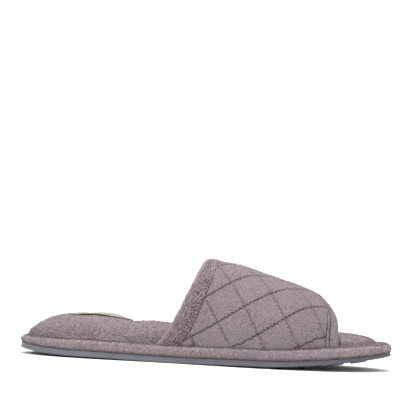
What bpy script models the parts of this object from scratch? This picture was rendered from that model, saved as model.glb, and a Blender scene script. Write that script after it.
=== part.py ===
"""An open-toe slide slipper for the right foot: metres, +Z up, toe towards +X, lateral side -Y.

A grey rubber outsole with tread bars carries a midsole wrapped in terry. A padded terry footbed
lies on the wrap, and a quilted terry upper arches over the forefoot between a wide collar binding
and a narrow toe binding. A plain woven label lies on the heel of the footbed.
"""

import functools
import math

import bmesh
import bpy
import numpy as np
from mathutils.bvhtree import BVHTree

# Driving sizes, in millimetres. x runs from the back of the heel, z from the floor.
MM = 0.001
LENGTH = 260.0
GAP = 0.3

# Plan of the wrapped edge: the widest outline of the sole, lateral side negative
PLAN = (
    # name, x, y
    ("heel back", 0.0, 0.0),
    ("heel corner, lateral", 9.0, -21.5),
    ("heel side, lateral", 36.0, -34.5),
    ("waist, lateral", 98.0, -38.5),
    ("ball, lateral", 164.0, -48.0),
    ("toe shoulder, lateral", 220.0, -40.5),
    ("toe corner, lateral", 247.0, -22.0),
    ("toe tip", LENGTH, 6.0),
    ("toe corner, medial", 251.0, 30.0),
    ("toe shoulder, medial", 226.0, 43.0),
    ("ball, medial", 178.0, 46.5),
    ("waist, medial", 102.0, 36.0),
    ("heel side, medial", 36.0, 34.5),
    ("heel corner, medial", 9.0, 21.5),
)
STATIONS, FINE_STATIONS = 30, 160
OUTLINE_SAMPLES, LEAST_SAMPLES = 1600, 4

# Rise of the sole off the floor: the heel's back edge, and the toe spring past the ball
HEEL_LIFT, HEEL_FLAT_FROM = 2.7, 40.0
TOE_SPRING, TOE_FLAT_TO, TOE_CURVE = 9.6, 168.0, 1.45

# Outsole: a plate with a lip along its lower edge, thinner towards the toe, and cross bars under the
# heel and forefoot. Between them, at the waist, the plate hangs a little lower.
PLATE, TOE_PLATE, TREAD = 4.0, 2.6, 1.2
WAIST_SAG, WAIST_X, WAIST_RUN = 1.0, 105.0, 62.0
LIP_HEIGHT, LIP_STEP, LIP_BEVEL = 1.5, 0.5, 0.6
BAR_WIDTH, BAR_PITCH, BAR_INSET, BAR_SINK = 12.5, 16.0, 6.5, 0.7
HEEL_BARS, FOREFOOT_BARS = (14.5, 4), (118.0, 8)

# Heights along the foot
HEIGHTS = (
    # x, wrap thickness, footbed crown above the wrap
    (0.0, 4.0, 6.8),
    (24.0, 6.3, 14.5),
    (45.0, 7.2, 16.7),
    (62.0, 7.2, 16.2),
    (79.0, 7.2, 13.3),
    (90.0, 7.2, 14.0),
    (140.0, 7.2, 11.2),
    (180.0, 7.2, 9.4),
    (215.0, 7.5, 8.0),
    (235.0, 6.8, 6.7),
    (260.0, 5.2, 4.3),
)

# Wrap: the rolled edge of the terry that covers the midsole
WRAP_ROLL = (
    # inset from the plan, share of the wrap's thickness
    (1.7, 0.0),
    (0.9, 0.12),
    (0.6, 0.38),
    (0.7, 0.66),
    (1.4, 0.87),
    (3.0, 0.97),
    (5.6, 1.0),
)

# Footbed: its foot is drawn in further where the upper stands beside it
BED_INSETS = (
    # x, inset from the plan
    (0.0, 5.0),
    (68.0, 5.0),
    (92.0, 10.2),
    (225.0, 10.2),
    (260.0, 11.5),
)
BED_ROUND = 2.6
BED_HEEL_RUN, BED_TOE_RUN = 33.0, 28.0
BED_LEVELS = (1.0, 0.985, 0.94, 0.86, 0.73, 0.52, 0.27, 0.0)

# Oval label on the heel of the footbed
LABEL_X, LABEL_LONG, LABEL_WIDE, LABEL_THICK = 55.2, 44.0, 31.0, 0.6
LABEL_RINGS, LABEL_AROUND = (0.3, 0.65, 1.0), 40

# Upper: an arch that stands on the wrap, measured at the top of its quilting
SEAM_INSET = 5.5
RIDGE = (
    # x, height of the top line
    (84.0, 72.4),
    (134.0, 70.9),
    (151.0, 68.9),
    (168.0, 63.9),
    (185.0, 59.0),
    (202.0, 53.0),
    (214.0, 48.0),
    (232.0, 40.5),
)
RIDGE_SHARE, ARCH_ROUND = 0.54, 2.3
WALL, PUFF = 4.2, 1.6
ARCH_SAMPLES, TAIL = 120, 9.0
NORMAL_RUN, NORMAL_TURN = 1.0, 0.02

# Edges of the upper: the collar is cut along a plane that leans back, turns a little towards the
# medial side and flares at its foot, and the toe edge is scooped back over the toes. Towards the
# ridge both bindings narrow to the given part of their width.
COLLAR_FOOT = (99.9, -33.0, 12.8)
COLLAR_LEAN, COLLAR_TURN = math.radians(23.6), 0.06
COLLAR_FLARE, FLARE_HEIGHT = 3.0, 15.0
TOE_EDGE_X, TOE_SCOOP, TOE_SCOOP_CURVE = 221.0, 14.3, 5.4
COLLAR_WIDTH, COLLAR_NARROW = 13.3, 0.66
TOE_WIDTH, TOE_NARROW, NARROW_CURVE = 9.0, 0.25, 3
COLLAR_RUN = COLLAR_WIDTH / math.cos(COLLAR_LEAN)
CUT_OUT, CUT_IN, CUT_STEPS = 6.0, 8.0, 8
EDGE_ROUNDS, EDGE_NUDGE = 5, 0.5

# Quilting: a square lattice at 45 degrees to the slope of the instep, on cloth whose half girth at
# one station is given and falls off with the slope. Towards the hem the sewn lines are pulled down.
CELL, QUILT_SLOPE, QUILT_ORIGIN_X = 20.7, math.radians(16.0), 122.3
QUILT_HALF, QUILT_HALF_X = 74.8, 150.0
HEM_PULL, PULL_FROM, PULL_RUN = 4.6, 190.0, 22.0
CELL_STEPS, RIDGE_BLEND = 4, 12.0
QUILT_FROM, QUILT_TO, QUILT_CELLS = 92.0, 227.0, 12

# Binding sections: share of the width from the free edge, and height in shares of the two sides
BINDING_PROFILE = (
    # along, side (1 outer, -1 inner), height share
    (1.0, 1, 0.55),
    (0.90, 1, 0.92),
    (0.55, 1, 1.0),
    (0.22, 1, 0.95),
    (0.05, 1, 0.55),
    (0.0, -1, 0.25),
    (0.05, -1, 0.78),
    (0.22, -1, 1.0),
    (0.60, -1, 1.0),
    (1.0, -1, 0.85),
)
COLLAR_OUT, COLLAR_IN = 1.8, 3.6
TOE_OUT, TOE_IN = 1.3, 3.1
BINDING_STEPS = 44

# Mesh finish: points closer than this are one, and edges sharper than this stay sharp
WELD, SHARP = 1e-7, math.radians(38)

# Finishes: colour (linear), roughness
FINISHES = {
    "outsole rubber": ((0.175, 0.190, 0.215, 1.0), 0.62),
    "wrap terry": ((0.330, 0.270, 0.285, 1.0), 0.95),
    "footbed terry": ((0.340, 0.280, 0.293, 1.0), 0.95),
    "quilted terry": ((0.335, 0.278, 0.290, 1.0), 0.93),
    "binding terry": ((0.285, 0.222, 0.238, 1.0), 0.97),
    "woven label": ((0.560, 0.530, 0.380, 1.0), 0.80),
}


# Curves

def hermite(start, end, start_slope, end_slope, run, t):
    """A cubic from start to end over the given run, t from 0 to 1."""
    return (
        start * (2 * t**3 - 3 * t**2 + 1)
        + end * (3 * t**2 - 2 * t**3)
        + run * (start_slope * (t**3 - 2 * t**2 + t) + end_slope * (t**3 - t**2))
    )


def table_curve(table, column, x):
    """The table's column as a smooth function of its first column."""
    rows = np.asarray(table, float)
    stations, values = rows[:, 0], rows[:, column]
    slopes = np.gradient(values, stations)
    x = np.clip(x, stations[0], stations[-1])
    i = np.clip(np.searchsorted(stations, x) - 1, 0, len(stations) - 2)
    run = stations[i + 1] - stations[i]
    return hermite(values[i], values[i + 1], slopes[i], slopes[i + 1], run, (x - stations[i]) / run)


def closed_spline(points, count):
    """Points on a closed curve of continuous curvature through the given ones."""
    n = len(points)
    runs = np.linalg.norm(np.roll(points, -1, axis=0) - points, axis=1)
    system, target = np.zeros((n, n)), np.zeros((n, 2))
    for i in range(n):
        before, after = runs[i - 1], runs[i]
        system[i, i - 1] = 1 / before
        system[i, i] = 2 / before + 2 / after
        system[i, (i + 1) % n] = 1 / after
        target[i] = 3 * (points[i] - points[i - 1]) / before**2
        target[i] += 3 * (points[(i + 1) % n] - points[i]) / after**2
    slopes = np.linalg.solve(system, target)
    found = []
    for i in range(n):
        following = (i + 1) % n
        steps = max(LEAST_SAMPLES, round(count * runs[i] / runs.sum()))
        for t in np.arange(steps) / steps:
            found.append(
                hermite(points[i], points[following], slopes[i], slopes[following], runs[i], t)
            )
    return np.array(found)


# Sole

OUTLINE = closed_spline(np.array([row[1:] for row in PLAN]), OUTLINE_SAMPLES)
CENTRE = (OUTLINE.max(axis=0) + OUTLINE.min(axis=0)) / 2


def plan(inset, stations=STATIONS):
    """Rows of x, lateral y and medial y for the outline drawn in by inset, a number or one per sample."""
    along = np.roll(OUTLINE, -1, axis=0) - np.roll(OUTLINE, 1, axis=0)
    along /= np.linalg.norm(along, axis=1)[:, None]
    inward = np.column_stack([-along[:, 1], along[:, 0]])
    curve = OUTLINE + inward * np.broadcast_to(inset, len(OUTLINE))[:, None]
    curve = np.roll(curve, -int(curve[:, 0].argmin()), axis=0)
    toe = int(curve[:, 0].argmax())
    lateral = curve[: toe + 1]
    medial = np.vstack([curve[toe:], curve[:1]])[::-1]
    share = (1 - np.cos(np.linspace(0, math.pi, stations + 1))) / 2
    x = curve[0, 0] + (curve[toe, 0] - curve[0, 0]) * share
    return np.column_stack(
        [x, np.interp(x, lateral[:, 0], lateral[:, 1]), np.interp(x, medial[:, 0], medial[:, 1])]
    )


def toe_share(x):
    """Place along the toe spring: 0 up to the ball, 1 at the tip."""
    return np.clip((x - TOE_FLAT_TO) / (LENGTH - TOE_FLAT_TO), 0, None)


def sole_lift(x):
    """Height of the tread over the floor."""
    heel = HEEL_LIFT * np.clip((HEEL_FLAT_FROM - x) / HEEL_FLAT_FROM, 0, None) ** 2
    return heel + TOE_SPRING * toe_share(x) ** TOE_CURVE


def plate_foot(x):
    """Underside of the plate."""
    away = np.clip((x - WAIST_X) / WAIST_RUN, -1, 1)
    return sole_lift(x) + TREAD - WAIST_SAG * np.cos(away * math.pi / 2) ** 2


def plate_thick(x):
    return PLATE + (TOE_PLATE - PLATE) * toe_share(x)


def wrap_foot(x):
    return plate_foot(x) + plate_thick(x) + GAP


def seam_height(x):
    """Where the upper and the footbed stand, just clear of the wrap."""
    return wrap_foot(x) + table_curve(HEIGHTS, 1, x) + GAP


def ring(rows, height):
    """Points round an outline: heel, lateral side, toe, medial side."""
    lateral = np.column_stack([rows[:, 0], rows[:, 1], height(rows[:, 0])])
    medial = np.column_stack([rows[:, 0], rows[:, 2], height(rows[:, 0])])
    return np.vstack([lateral, medial[-2:0:-1]])


def side_faces(rings, size):
    faces = []
    for level in range(rings - 1):
        for i in range(size):
            j = (i + 1) % size
            low, high = level * size, (level + 1) * size
            faces.append((low + i, low + j, high + j, high + i))
    return faces


def rung_faces(first, size):
    """A cap whose rungs join the two sides of a ring at equal x."""
    half = size // 2
    faces = [(first, first + 1, first + size - 1)]
    for i in range(1, half - 1):
        faces.append((first + i, first + i + 1, first + size - i - 1, first + size - i))
    faces.append((first + half - 1, first + half, first + half + 1))
    return faces


# Objects

def finish_material(name):
    material = bpy.data.materials.new(name)
    material.use_nodes = True
    shader = material.node_tree.nodes["Principled BSDF"]
    colour, roughness = FINISHES[name]
    shader.inputs["Base Color"].default_value = colour
    shader.inputs["Roughness"].default_value = roughness
    shader.inputs["Metallic"].default_value = 0.0
    material.diffuse_color = colour
    return material


def add_solid(name, points, faces, finish=None, helper=False):
    """One object from points in millimetres, with its origin at the middle of the sole on the floor."""
    placed = (np.asarray(points) - (CENTRE[0], CENTRE[1], 0.0)) * MM
    mesh = bpy.data.meshes.new(name)
    mesh.from_pydata([tuple(p) for p in placed], [], [tuple(f) for f in faces])
    shape = bmesh.new()
    shape.from_mesh(mesh)
    bmesh.ops.remove_doubles(shape, verts=shape.verts, dist=WELD)
    bmesh.ops.triangulate(shape, faces=shape.faces)
    bmesh.ops.recalc_face_normals(shape, faces=shape.faces)
    shape.to_mesh(mesh)
    shape.free()
    solid = bpy.data.objects.new(name, mesh)
    bpy.context.scene.collection.objects.link(solid)
    if helper:
        solid.hide_render = True
        solid.display_type = "WIRE"
    else:
        mesh.materials.append(finish_material(finish))
        mesh.shade_smooth()
        mesh.set_sharp_from_angle(angle=SHARP)
    return solid


def add_boolean(solid, operation, helper):
    modifier = solid.modifiers.new(helper.name, "BOOLEAN")
    modifier.operation = operation
    modifier.solver = "EXACT"
    modifier.object = helper


def ring_solid(name, rings, finish, capped=True):
    """A closed solid from rings, lowest first; the last ring is capped unless its sides already meet."""
    size = len(rings[0])
    faces = side_faces(len(rings), size) + rung_faces(0, size)
    if capped:
        faces += rung_faces((len(rings) - 1) * size, size)
    return add_solid(name, np.vstack(rings), faces, finish)


# Outsole

def tread_bars():
    """Cross bars under heel and forefoot, sunk a little into the plate above them."""
    edge = plan(BAR_INSET, stations=FINE_STATIONS)
    points, faces = [], []
    for start, count in (HEEL_BARS, FOREFOOT_BARS):
        for k in range(count):
            x = start + k * BAR_PITCH + np.linspace(0, BAR_WIDTH, 3)
            low = sole_lift(x)
            first = len(points)
            for z in (low, low + TREAD + BAR_SINK):
                for side in (1, 2):
                    points += list(zip(x, np.interp(x, edge[:, 0], edge[:, side]), z))
            a, b, c, d = (first + 3 * n for n in range(4))
            for i in (0, 1):
                faces.append((a + i, a + i + 1, b + i + 1, b + i))
                faces.append((c + i, c + i + 1, d + i + 1, d + i))
                faces.append((a + i, a + i + 1, c + i + 1, c + i))
                faces.append((b + i, b + i + 1, d + i + 1, d + i))
            for i in (0, 2):
                faces.append((a + i, b + i, d + i, c + i))
    return add_solid("tread_bars", points, faces, helper=True)


def outsole():
    levels = (
        # inset, height over the underside where the plate has its full thickness
        (LIP_BEVEL, 0.0),
        (0.0, LIP_BEVEL),
        (0.0, LIP_HEIGHT),
        (LIP_STEP, LIP_HEIGHT + LIP_STEP),
        (LIP_STEP, PLATE),
    )

    def height(up):
        return lambda x: plate_foot(x) + up * plate_thick(x) / PLATE

    rings = [ring(plan(inset), height(up)) for inset, up in levels]
    plate = ring_solid("outsole", rings, "outsole rubber")
    add_boolean(plate, "UNION", tread_bars())
    return plate


# Wrapped midsole

def wrapped_midsole():
    def height(share):
        return lambda x: wrap_foot(x) + share * table_curve(HEIGHTS, 1, x)

    rings = [ring(plan(inset), height(share)) for inset, share in WRAP_ROLL]
    return ring_solid("wrapped_midsole", rings, "wrap terry")


# Footbed

BED_FOOT = plan(table_curve(BED_INSETS, 1, OUTLINE[:, 0]), stations=FINE_STATIONS)
BED_HEEL, BED_TOE = BED_FOOT[0, 0], BED_FOOT[-1, 0]
SPINE_STEP = 1 - (BED_HEEL_RUN + BED_TOE_RUN) / (BED_TOE - BED_HEEL)


def bed_sides(x):
    lateral = np.interp(x, BED_FOOT[:, 0], BED_FOOT[:, 1])
    medial = np.interp(x, BED_FOOT[:, 0], BED_FOOT[:, 2])
    return (lateral + medial) / 2, (medial - lateral) / 2


def bed_points(x, reach):
    """Footbed surface: x along its foot, reach from -1 at the lateral edge to 1 at the medial edge."""
    middle, half = bed_sides(x)
    spine_x = BED_HEEL + BED_HEEL_RUN + (x - BED_HEEL) * SPINE_STEP
    out = np.abs(reach)
    px = spine_x + (x - spine_x) * out
    crown = table_curve(HEIGHTS, 2, px) * (1 - out**BED_ROUND) ** (1 / BED_ROUND)
    return np.column_stack([px, middle + half * reach, seam_height(px) + crown])


def footbed():
    x = BED_HEEL + (BED_TOE - BED_HEEL) * (1 - np.cos(np.linspace(0, math.pi, STATIONS + 1))) / 2
    rings = []
    for out in BED_LEVELS:
        lateral = bed_points(x, np.full(len(x), -out))
        medial = bed_points(x, np.full(len(x), out))
        rings.append(np.vstack([lateral, medial[-2:0:-1]]))
    return ring_solid("footbed", rings, "footbed terry", capped=False)


def heel_label(bed):
    """A thin oval laid on the footbed's own surface."""
    tree = BVHTree.FromPolygons(
        [v.co / MM for v in bed.data.vertices], [f.vertices for f in bed.data.polygons]
    )
    turns = np.linspace(0, 2 * math.pi, LABEL_AROUND, endpoint=False)
    layers = [(share, 0.0) for share in LABEL_RINGS] + [(share, LABEL_THICK) for share in LABEL_RINGS[::-1]]
    points = []
    for share, up in layers:
        for x, y in zip(np.cos(turns) * LABEL_LONG / 2, np.sin(turns) * LABEL_WIDE / 2):
            x, y = LABEL_X + share * x, share * y
            touch = tree.ray_cast((x - CENTRE[0], y - CENTRE[1], LENGTH), (0.0, 0.0, -1.0))[0]
            points.append((x, y, touch.z + GAP + up))
    faces = side_faces(len(layers), LABEL_AROUND)
    last = len(points) - LABEL_AROUND
    faces += [tuple(range(LABEL_AROUND)), tuple(range(last, len(points)))]
    return add_solid("heel_label", points, faces, "woven label")


# Arch of the upper

SEAM = plan(SEAM_INSET, stations=FINE_STATIONS)


@functools.cache
def arch_section(x):
    """Girth shares (1 lateral seam, 0 ridge, -1 medial seam), y, z and the two half girths at x."""
    lateral, medial = (np.interp(x, SEAM[:, 0], SEAM[:, side]) for side in (1, 2))
    ridge_y = lateral + RIDGE_SHARE * (medial - lateral)
    foot, top = seam_height(x), table_curve(RIDGE, 1, x) - PUFF
    angle = np.linspace(0, math.pi, ARCH_SAMPLES + 1)
    reach = np.abs(np.cos(angle)) ** (2 / ARCH_ROUND)
    side = np.where(angle <= math.pi / 2, lateral, medial)
    y = ridge_y + (side - ridge_y) * reach
    z = foot + (top - foot) * np.sin(angle).clip(0) ** (2 / ARCH_ROUND)
    y = np.concatenate([[lateral], y, [medial]])
    z = np.concatenate([[foot - TAIL], z, [foot - TAIL]])
    length = np.concatenate([[0], np.cumsum(np.hypot(np.diff(y), np.diff(z)))])
    ridge = length[1 + ARCH_SAMPLES // 2]
    half_lateral, half_medial = ridge - length[1], length[-2] - ridge
    girth = ridge - length
    share = np.where(girth >= 0, girth / half_lateral, girth / half_medial)
    return share, y, z, half_lateral, half_medial


def arch_point(x, share):
    shares, y, z, _, _ = arch_section(x)
    return np.array([x, np.interp(-share, -shares, y), np.interp(-share, -shares, z)])


def shell_point(x, share, offset):
    """A point at the given distance outside the arch."""
    along = arch_point(x + NORMAL_RUN, share) - arch_point(x - NORMAL_RUN, share)
    around = arch_point(x, share - NORMAL_TURN) - arch_point(x, share + NORMAL_TURN)
    normal = np.cross(along, around)
    return arch_point(x, share) + offset * normal / np.linalg.norm(normal)


def narrowed(shift, share, left):
    """A shift across a binding, of which only the given part is left at the ridge."""
    return shift * (1 - (1 - left) * (1 - share**2) ** NARROW_CURVE)


def collar_x(shift, share, offset):
    """x on the arch whose offset point lies on the collar's cut, moved forward across its binding."""
    shift = narrowed(shift, share, COLLAR_NARROW)

    def miss(x):
        point = shell_point(x, share, offset)
        _, sideways, up = point - COLLAR_FOOT
        plane = COLLAR_FOOT[0] + up * math.tan(COLLAR_LEAN) + sideways * COLLAR_TURN
        flare = COLLAR_FLARE * max(0.0, 1 - up / FLARE_HEIGHT) ** 2
        return plane - flare + shift - point[0]

    x = COLLAR_FOOT[0] + shift
    for _ in range(EDGE_ROUNDS):
        x -= miss(x) * EDGE_NUDGE / (miss(x + EDGE_NUDGE) - miss(x))
    return x


def toe_x(shift, share, offset):
    """x on the arch along the scooped toe edge, moved across its binding."""
    scoop = TOE_SCOOP * (1 - share**2) ** TOE_SCOOP_CURVE
    return TOE_EDGE_X - scoop + narrowed(shift, share, TOE_NARROW)


def loop_strip(name, loops, finish=None, helper=False):
    """A solid through closed loops of equal size, each end closed by rungs across its loop."""
    n = len(loops[0])
    faces = side_faces(len(loops), n)
    for first in (0, (len(loops) - 1) * n):
        for i in range(n // 2 - 1):
            faces.append((first + i, first + i + 1, first + n - 2 - i, first + n - 1 - i))
    return add_solid(name, np.vstack(loops), faces, finish, helper)


# Quilted upper

def quilt_to_arch(a, b):
    """x and girth share of a lattice point; the lattice is folded over the ridge."""
    step = CELL * math.sqrt(2)
    forward, across = step * (a + b) / 2, step * (a - b) / 2
    girth = across / math.cos(QUILT_SLOPE)
    folded = math.sqrt(girth**2 + RIDGE_BLEND**2) - RIDGE_BLEND
    x = QUILT_ORIGIN_X + (forward - folded * math.sin(QUILT_SLOPE)) * math.cos(QUILT_SLOPE)
    half = QUILT_HALF - (x - QUILT_HALF_X) * math.tan(QUILT_SLOPE)
    pull = HEM_PULL * min(1.0, max(0.0, x - PULL_FROM) / PULL_RUN) ** 2
    return x, girth * (1 + pull / math.hypot(girth, RIDGE_BLEND)) / half


def puff(a, b):
    """Height of the padding, 0 along the sewn lines and 1 in the middle of a square."""
    return math.prod(1 - abs(2 * (t % 1.0) - 1) ** 3 for t in (a, b))


def quilt_cutter():
    """The stretch of arch that the quilted wall fills, between the bindings and down to the seam."""
    loops = []
    for share in np.linspace(1, -1, BINDING_STEPS + 1):
        loop = []
        for offset, order in ((CUT_OUT, 1), (-CUT_IN, -1)):
            rear = collar_x(COLLAR_RUN, share, offset) + GAP
            front = toe_x(-TOE_WIDTH, share, offset) - GAP
            stations = np.linspace(rear, front, CUT_STEPS + 1)[::order]
            loop += [shell_point(x, share, offset) for x in stations]
        loops.append(np.array(loop))
    return loop_strip("quilt_cutter", loops, helper=True)


def upper():
    """One quilted wall over the forefoot, trimmed where the bindings and the sole begin."""
    kept = {}
    ticks = range(-QUILT_CELLS * CELL_STEPS, QUILT_CELLS * CELL_STEPS)
    for i in ticks:
        for j in ticks:
            x, share = quilt_to_arch(i / CELL_STEPS, j / CELL_STEPS)
            if not QUILT_FROM < x < QUILT_TO:
                continue
            _, _, _, half_lateral, half_medial = arch_section(x)
            half = half_lateral if share >= 0 else half_medial
            if abs(share) < 1 + TAIL / half:
                kept[i, j] = (x, share)
    cells = [
        (i, j)
        for i, j in kept
        if all(corner in kept for corner in ((i + 1, j), (i, j + 1), (i + 1, j + 1)))
    ]
    used = sorted({(i + di, j + dj) for i, j in cells for di in (0, 1) for dj in (0, 1)})
    number = {tick: n for n, tick in enumerate(used)}
    outer = [shell_point(*kept[t], PUFF * puff(t[0] / CELL_STEPS, t[1] / CELL_STEPS)) for t in used]
    inner = [shell_point(*kept[t], PUFF - WALL) for t in used]
    layer = len(used)
    faces, edges = [], {}
    for i, j in cells:
        quad = [number[t] for t in ((i, j), (i + 1, j), (i + 1, j + 1), (i, j + 1))]
        faces += [tuple(quad), tuple(v + layer for v in reversed(quad))]
        for a, b in zip(quad, quad[1:] + quad[:1]):
            edges[frozenset((a, b))] = edges.get(frozenset((a, b)), 0) + 1
    for edge in (e for e, uses in edges.items() if uses == 1):
        a, b = edge
        faces.append((a, b, b + layer, a + layer))
    wall = add_solid("upper", outer + inner, faces, "quilted terry")
    add_boolean(wall, "INTERSECT", quilt_cutter())
    return wall


# Bindings

def binding(name, edge_x, run, out, into, finish):
    """A rolled strip along an edge of the arch, from the lateral seam to the medial one."""
    loops = []
    for share in np.linspace(1, -1, BINDING_STEPS + 1):
        loop = []
        for along, side, height in BINDING_PROFILE:
            offset = height * (out if side > 0 else -into)
            loop.append(shell_point(edge_x(along * run, share, offset), share, offset))
        loops.append(np.array(loop))
    return loop_strip(name, loops, finish)


def collar_binding():
    return binding("collar_binding", collar_x, COLLAR_RUN, COLLAR_OUT, COLLAR_IN, "binding terry")


def toe_binding():
    return binding("toe_binding", toe_x, -TOE_WIDTH, TOE_OUT, TOE_IN, "quilted terry")


def main():
    for old in list(bpy.data.objects):
        bpy.data.objects.remove(old)
    outsole()
    wrapped_midsole()
    heel_label(footbed())
    upper()
    collar_binding()
    toe_binding()


main()
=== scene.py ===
"""The looks of an open-toe slide slipper in terry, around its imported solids.

Lengths are in millimetres and are scaled where a piece is made. x runs from the back of the heel to
the toe, the lateral side is -y, and z is the height over the floor.
"""

import math

import bmesh
import bpy
import numpy as np
from mathutils import Matrix, Vector
from mathutils.bvhtree import BVHTree


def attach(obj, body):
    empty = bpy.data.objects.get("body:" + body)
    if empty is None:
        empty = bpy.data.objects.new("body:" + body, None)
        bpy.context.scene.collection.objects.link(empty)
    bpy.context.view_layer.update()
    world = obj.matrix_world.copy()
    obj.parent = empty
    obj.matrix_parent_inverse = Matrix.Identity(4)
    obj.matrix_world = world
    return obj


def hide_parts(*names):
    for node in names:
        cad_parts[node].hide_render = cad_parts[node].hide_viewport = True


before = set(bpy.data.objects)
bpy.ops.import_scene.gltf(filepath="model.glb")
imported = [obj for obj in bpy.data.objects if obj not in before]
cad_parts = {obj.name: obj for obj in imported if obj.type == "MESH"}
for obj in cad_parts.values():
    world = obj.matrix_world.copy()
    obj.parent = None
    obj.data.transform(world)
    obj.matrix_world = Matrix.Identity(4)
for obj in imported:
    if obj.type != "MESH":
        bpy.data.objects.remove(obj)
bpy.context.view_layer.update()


# Outsole
# A sheet of blue-grey thermoplastic rubber, moulded with a lip along its lower edge and low cross bars
# underneath. It is cut to the plan of the foot and cemented under the wrapped midsole.

MM = 0.001
LENGTH = 260.0
GAP = 0.3
PLAN = (
    # name, x, y
    ("heel back", 0.0, 0.0),
    ("heel corner, lateral", 9.0, -21.5),
    ("heel side, lateral", 36.0, -34.5),
    ("waist, lateral", 98.0, -38.5),
    ("ball, lateral", 164.0, -48.0),
    ("toe shoulder, lateral", 220.0, -40.5),
    ("toe corner, lateral", 247.0, -22.0),
    ("toe tip", LENGTH, 6.0),
    ("toe corner, medial", 251.0, 30.0),
    ("toe shoulder, medial", 226.0, 43.0),
    ("ball, medial", 178.0, 46.5),
    ("waist, medial", 102.0, 36.0),
    ("heel side, medial", 36.0, 34.5),
    ("heel corner, medial", 9.0, 21.5),
)
OUTLINE_SAMPLES = 2400
HEEL_LIFT, HEEL_FLAT_FROM = 2.7, 40.0
TOE_SPRING, TOE_FLAT_TO, TOE_CURVE = 9.6, 168.0, 1.45
PLATE, TOE_PLATE, TREAD = 4.0, 2.6, 1.2
WAIST_SAG, WAIST_X, WAIST_RUN = 1.0, 105.0, 62.0
BAR_WIDTH, BAR_PITCH, BAR_INSET, BAR_FLANK = 12.5, 16.0, 6.5, 0.5
HEEL_BARS, FOREFOOT_BARS = (14.5, 4), (118.0, 8)
OUTSOLE_STATIONS = 220
TREAD_SLOTS = 9
SLOT_PROFILE = (
    # share of the way to the next slot, share of the bar's height
    (0.0, 1.0),
    (0.86, 1.0),
    (0.90, 0.5),
    (0.96, 0.5),
)
OUTSOLE_EDGE = (
    # inset from the plan, height over the underside where the plate has its full thickness
    (0.9, 0.0),
    (0.45, 0.10),
    (0.12, 0.38),
    (0.0, 0.75),
    (0.0, 1.35),
    (0.12, 1.62),
    (0.42, 1.80),
    (0.55, 2.05),
    (0.55, 3.70),
    (0.75, PLATE),
)
RUBBER, RUBBER_BLOOM = "#45484D", "#62656B"
BLOOM_SIZE, TOE_SHADE_SPREAD, MOULD_GRAIN = 14.0, 0.55, 0.6


def linear(hex_colour):
    """An sRGB hex colour as linear red, green, blue and alpha."""
    shares = [int(hex_colour[i : i + 2], 16) / 255 for i in (1, 3, 5)]
    return [s / 12.92 if s <= 0.04045 else ((s + 0.055) / 1.055) ** 2.4 for s in shares] + [1.0]


def add_node(tree, kind, settings=(), links=(), output=0):
    """One shader node, given as one of its outputs: settings are its properties or its inputs' values."""
    made = tree.nodes.new("ShaderNode" + kind)
    for name, value in dict(settings).items():
        if isinstance(name, int) or name in made.inputs:
            made.inputs[name].default_value = value
        else:
            setattr(made, name, value)
    for name, other in dict(links).items():
        tree.links.new(other, made.inputs[name])
    return made.outputs[output]


def new_material(name):
    """An empty material, its node tree and the input of its surface."""
    material = bpy.data.materials.new(name)
    material.use_nodes = True
    tree = material.node_tree
    tree.nodes.clear()
    return material, tree, tree.nodes.new("ShaderNodeOutputMaterial").inputs["Surface"]


def hermite(start, end, start_slope, end_slope, run, t):
    """A cubic from start to end over the given run, t from 0 to 1."""
    return (
        start * (2 * t**3 - 3 * t**2 + 1)
        + end * (3 * t**2 - 2 * t**3)
        + run * (start_slope * (t**3 - 2 * t**2 + t) + end_slope * (t**3 - t**2))
    )


def closed_spline(points, count):
    """Points on a closed curve of continuous curvature through the given ones."""
    n = len(points)
    runs = np.linalg.norm(np.roll(points, -1, axis=0) - points, axis=1)
    system, target = np.zeros((n, n)), np.zeros((n, 2))
    for i in range(n):
        before, after = runs[i - 1], runs[i]
        system[i, i - 1] = 1 / before
        system[i, i] = 2 / before + 2 / after
        system[i, (i + 1) % n] = 1 / after
        target[i] = 3 * (points[i] - points[i - 1]) / before**2
        target[i] += 3 * (points[(i + 1) % n] - points[i]) / after**2
    slopes = np.linalg.solve(system, target)
    found = []
    for i in range(n):
        following = (i + 1) % n
        steps = round(count * runs[i] / runs.sum())
        t = (np.arange(steps) / steps)[:, None]
        found.append(hermite(points[i], points[following], slopes[i], slopes[following], runs[i], t))
    return np.vstack(found)


OUTLINE = closed_spline(np.array([row[1:] for row in PLAN]), OUTLINE_SAMPLES)
CENTRE = (OUTLINE.max(axis=0) + OUTLINE.min(axis=0)) / 2


def unit(vectors):
    """The same vectors, each of length 1."""
    return vectors / np.linalg.norm(vectors, axis=-1, keepdims=True)


def plan_sides(inset):
    """The outline drawn in by inset, as a lateral and a medial curve from heel to toe."""
    along = unit(np.roll(OUTLINE, -1, axis=0) - np.roll(OUTLINE, 1, axis=0))
    inward = np.column_stack([-along[:, 1], along[:, 0]])
    curve = OUTLINE + inward * np.broadcast_to(inset, len(OUTLINE))[:, None]
    curve = np.roll(curve, -int(curve[:, 0].argmin()), axis=0)
    toe = int(curve[:, 0].argmax())
    return curve[: toe + 1], np.vstack([curve[toe:], curve[:1]])[::-1]


def toe_share(x):
    """Place along the toe spring: 0 up to the ball, 1 at the tip."""
    return np.clip((x - TOE_FLAT_TO) / (LENGTH - TOE_FLAT_TO), 0, None)


def sole_lift(x):
    """Height of the tread over the floor."""
    heel = HEEL_LIFT * np.clip((HEEL_FLAT_FROM - x) / HEEL_FLAT_FROM, 0, None) ** 2
    return heel + TOE_SPRING * toe_share(x) ** TOE_CURVE


def plate_foot(x):
    """Underside of the outsole's plate."""
    away = np.clip((x - WAIST_X) / WAIST_RUN, -1, 1)
    return sole_lift(x) + TREAD - WAIST_SAG * np.cos(away * math.pi / 2) ** 2


def plate_thick(x):
    return PLATE + (TOE_PLATE - PLATE) * toe_share(x)


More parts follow.
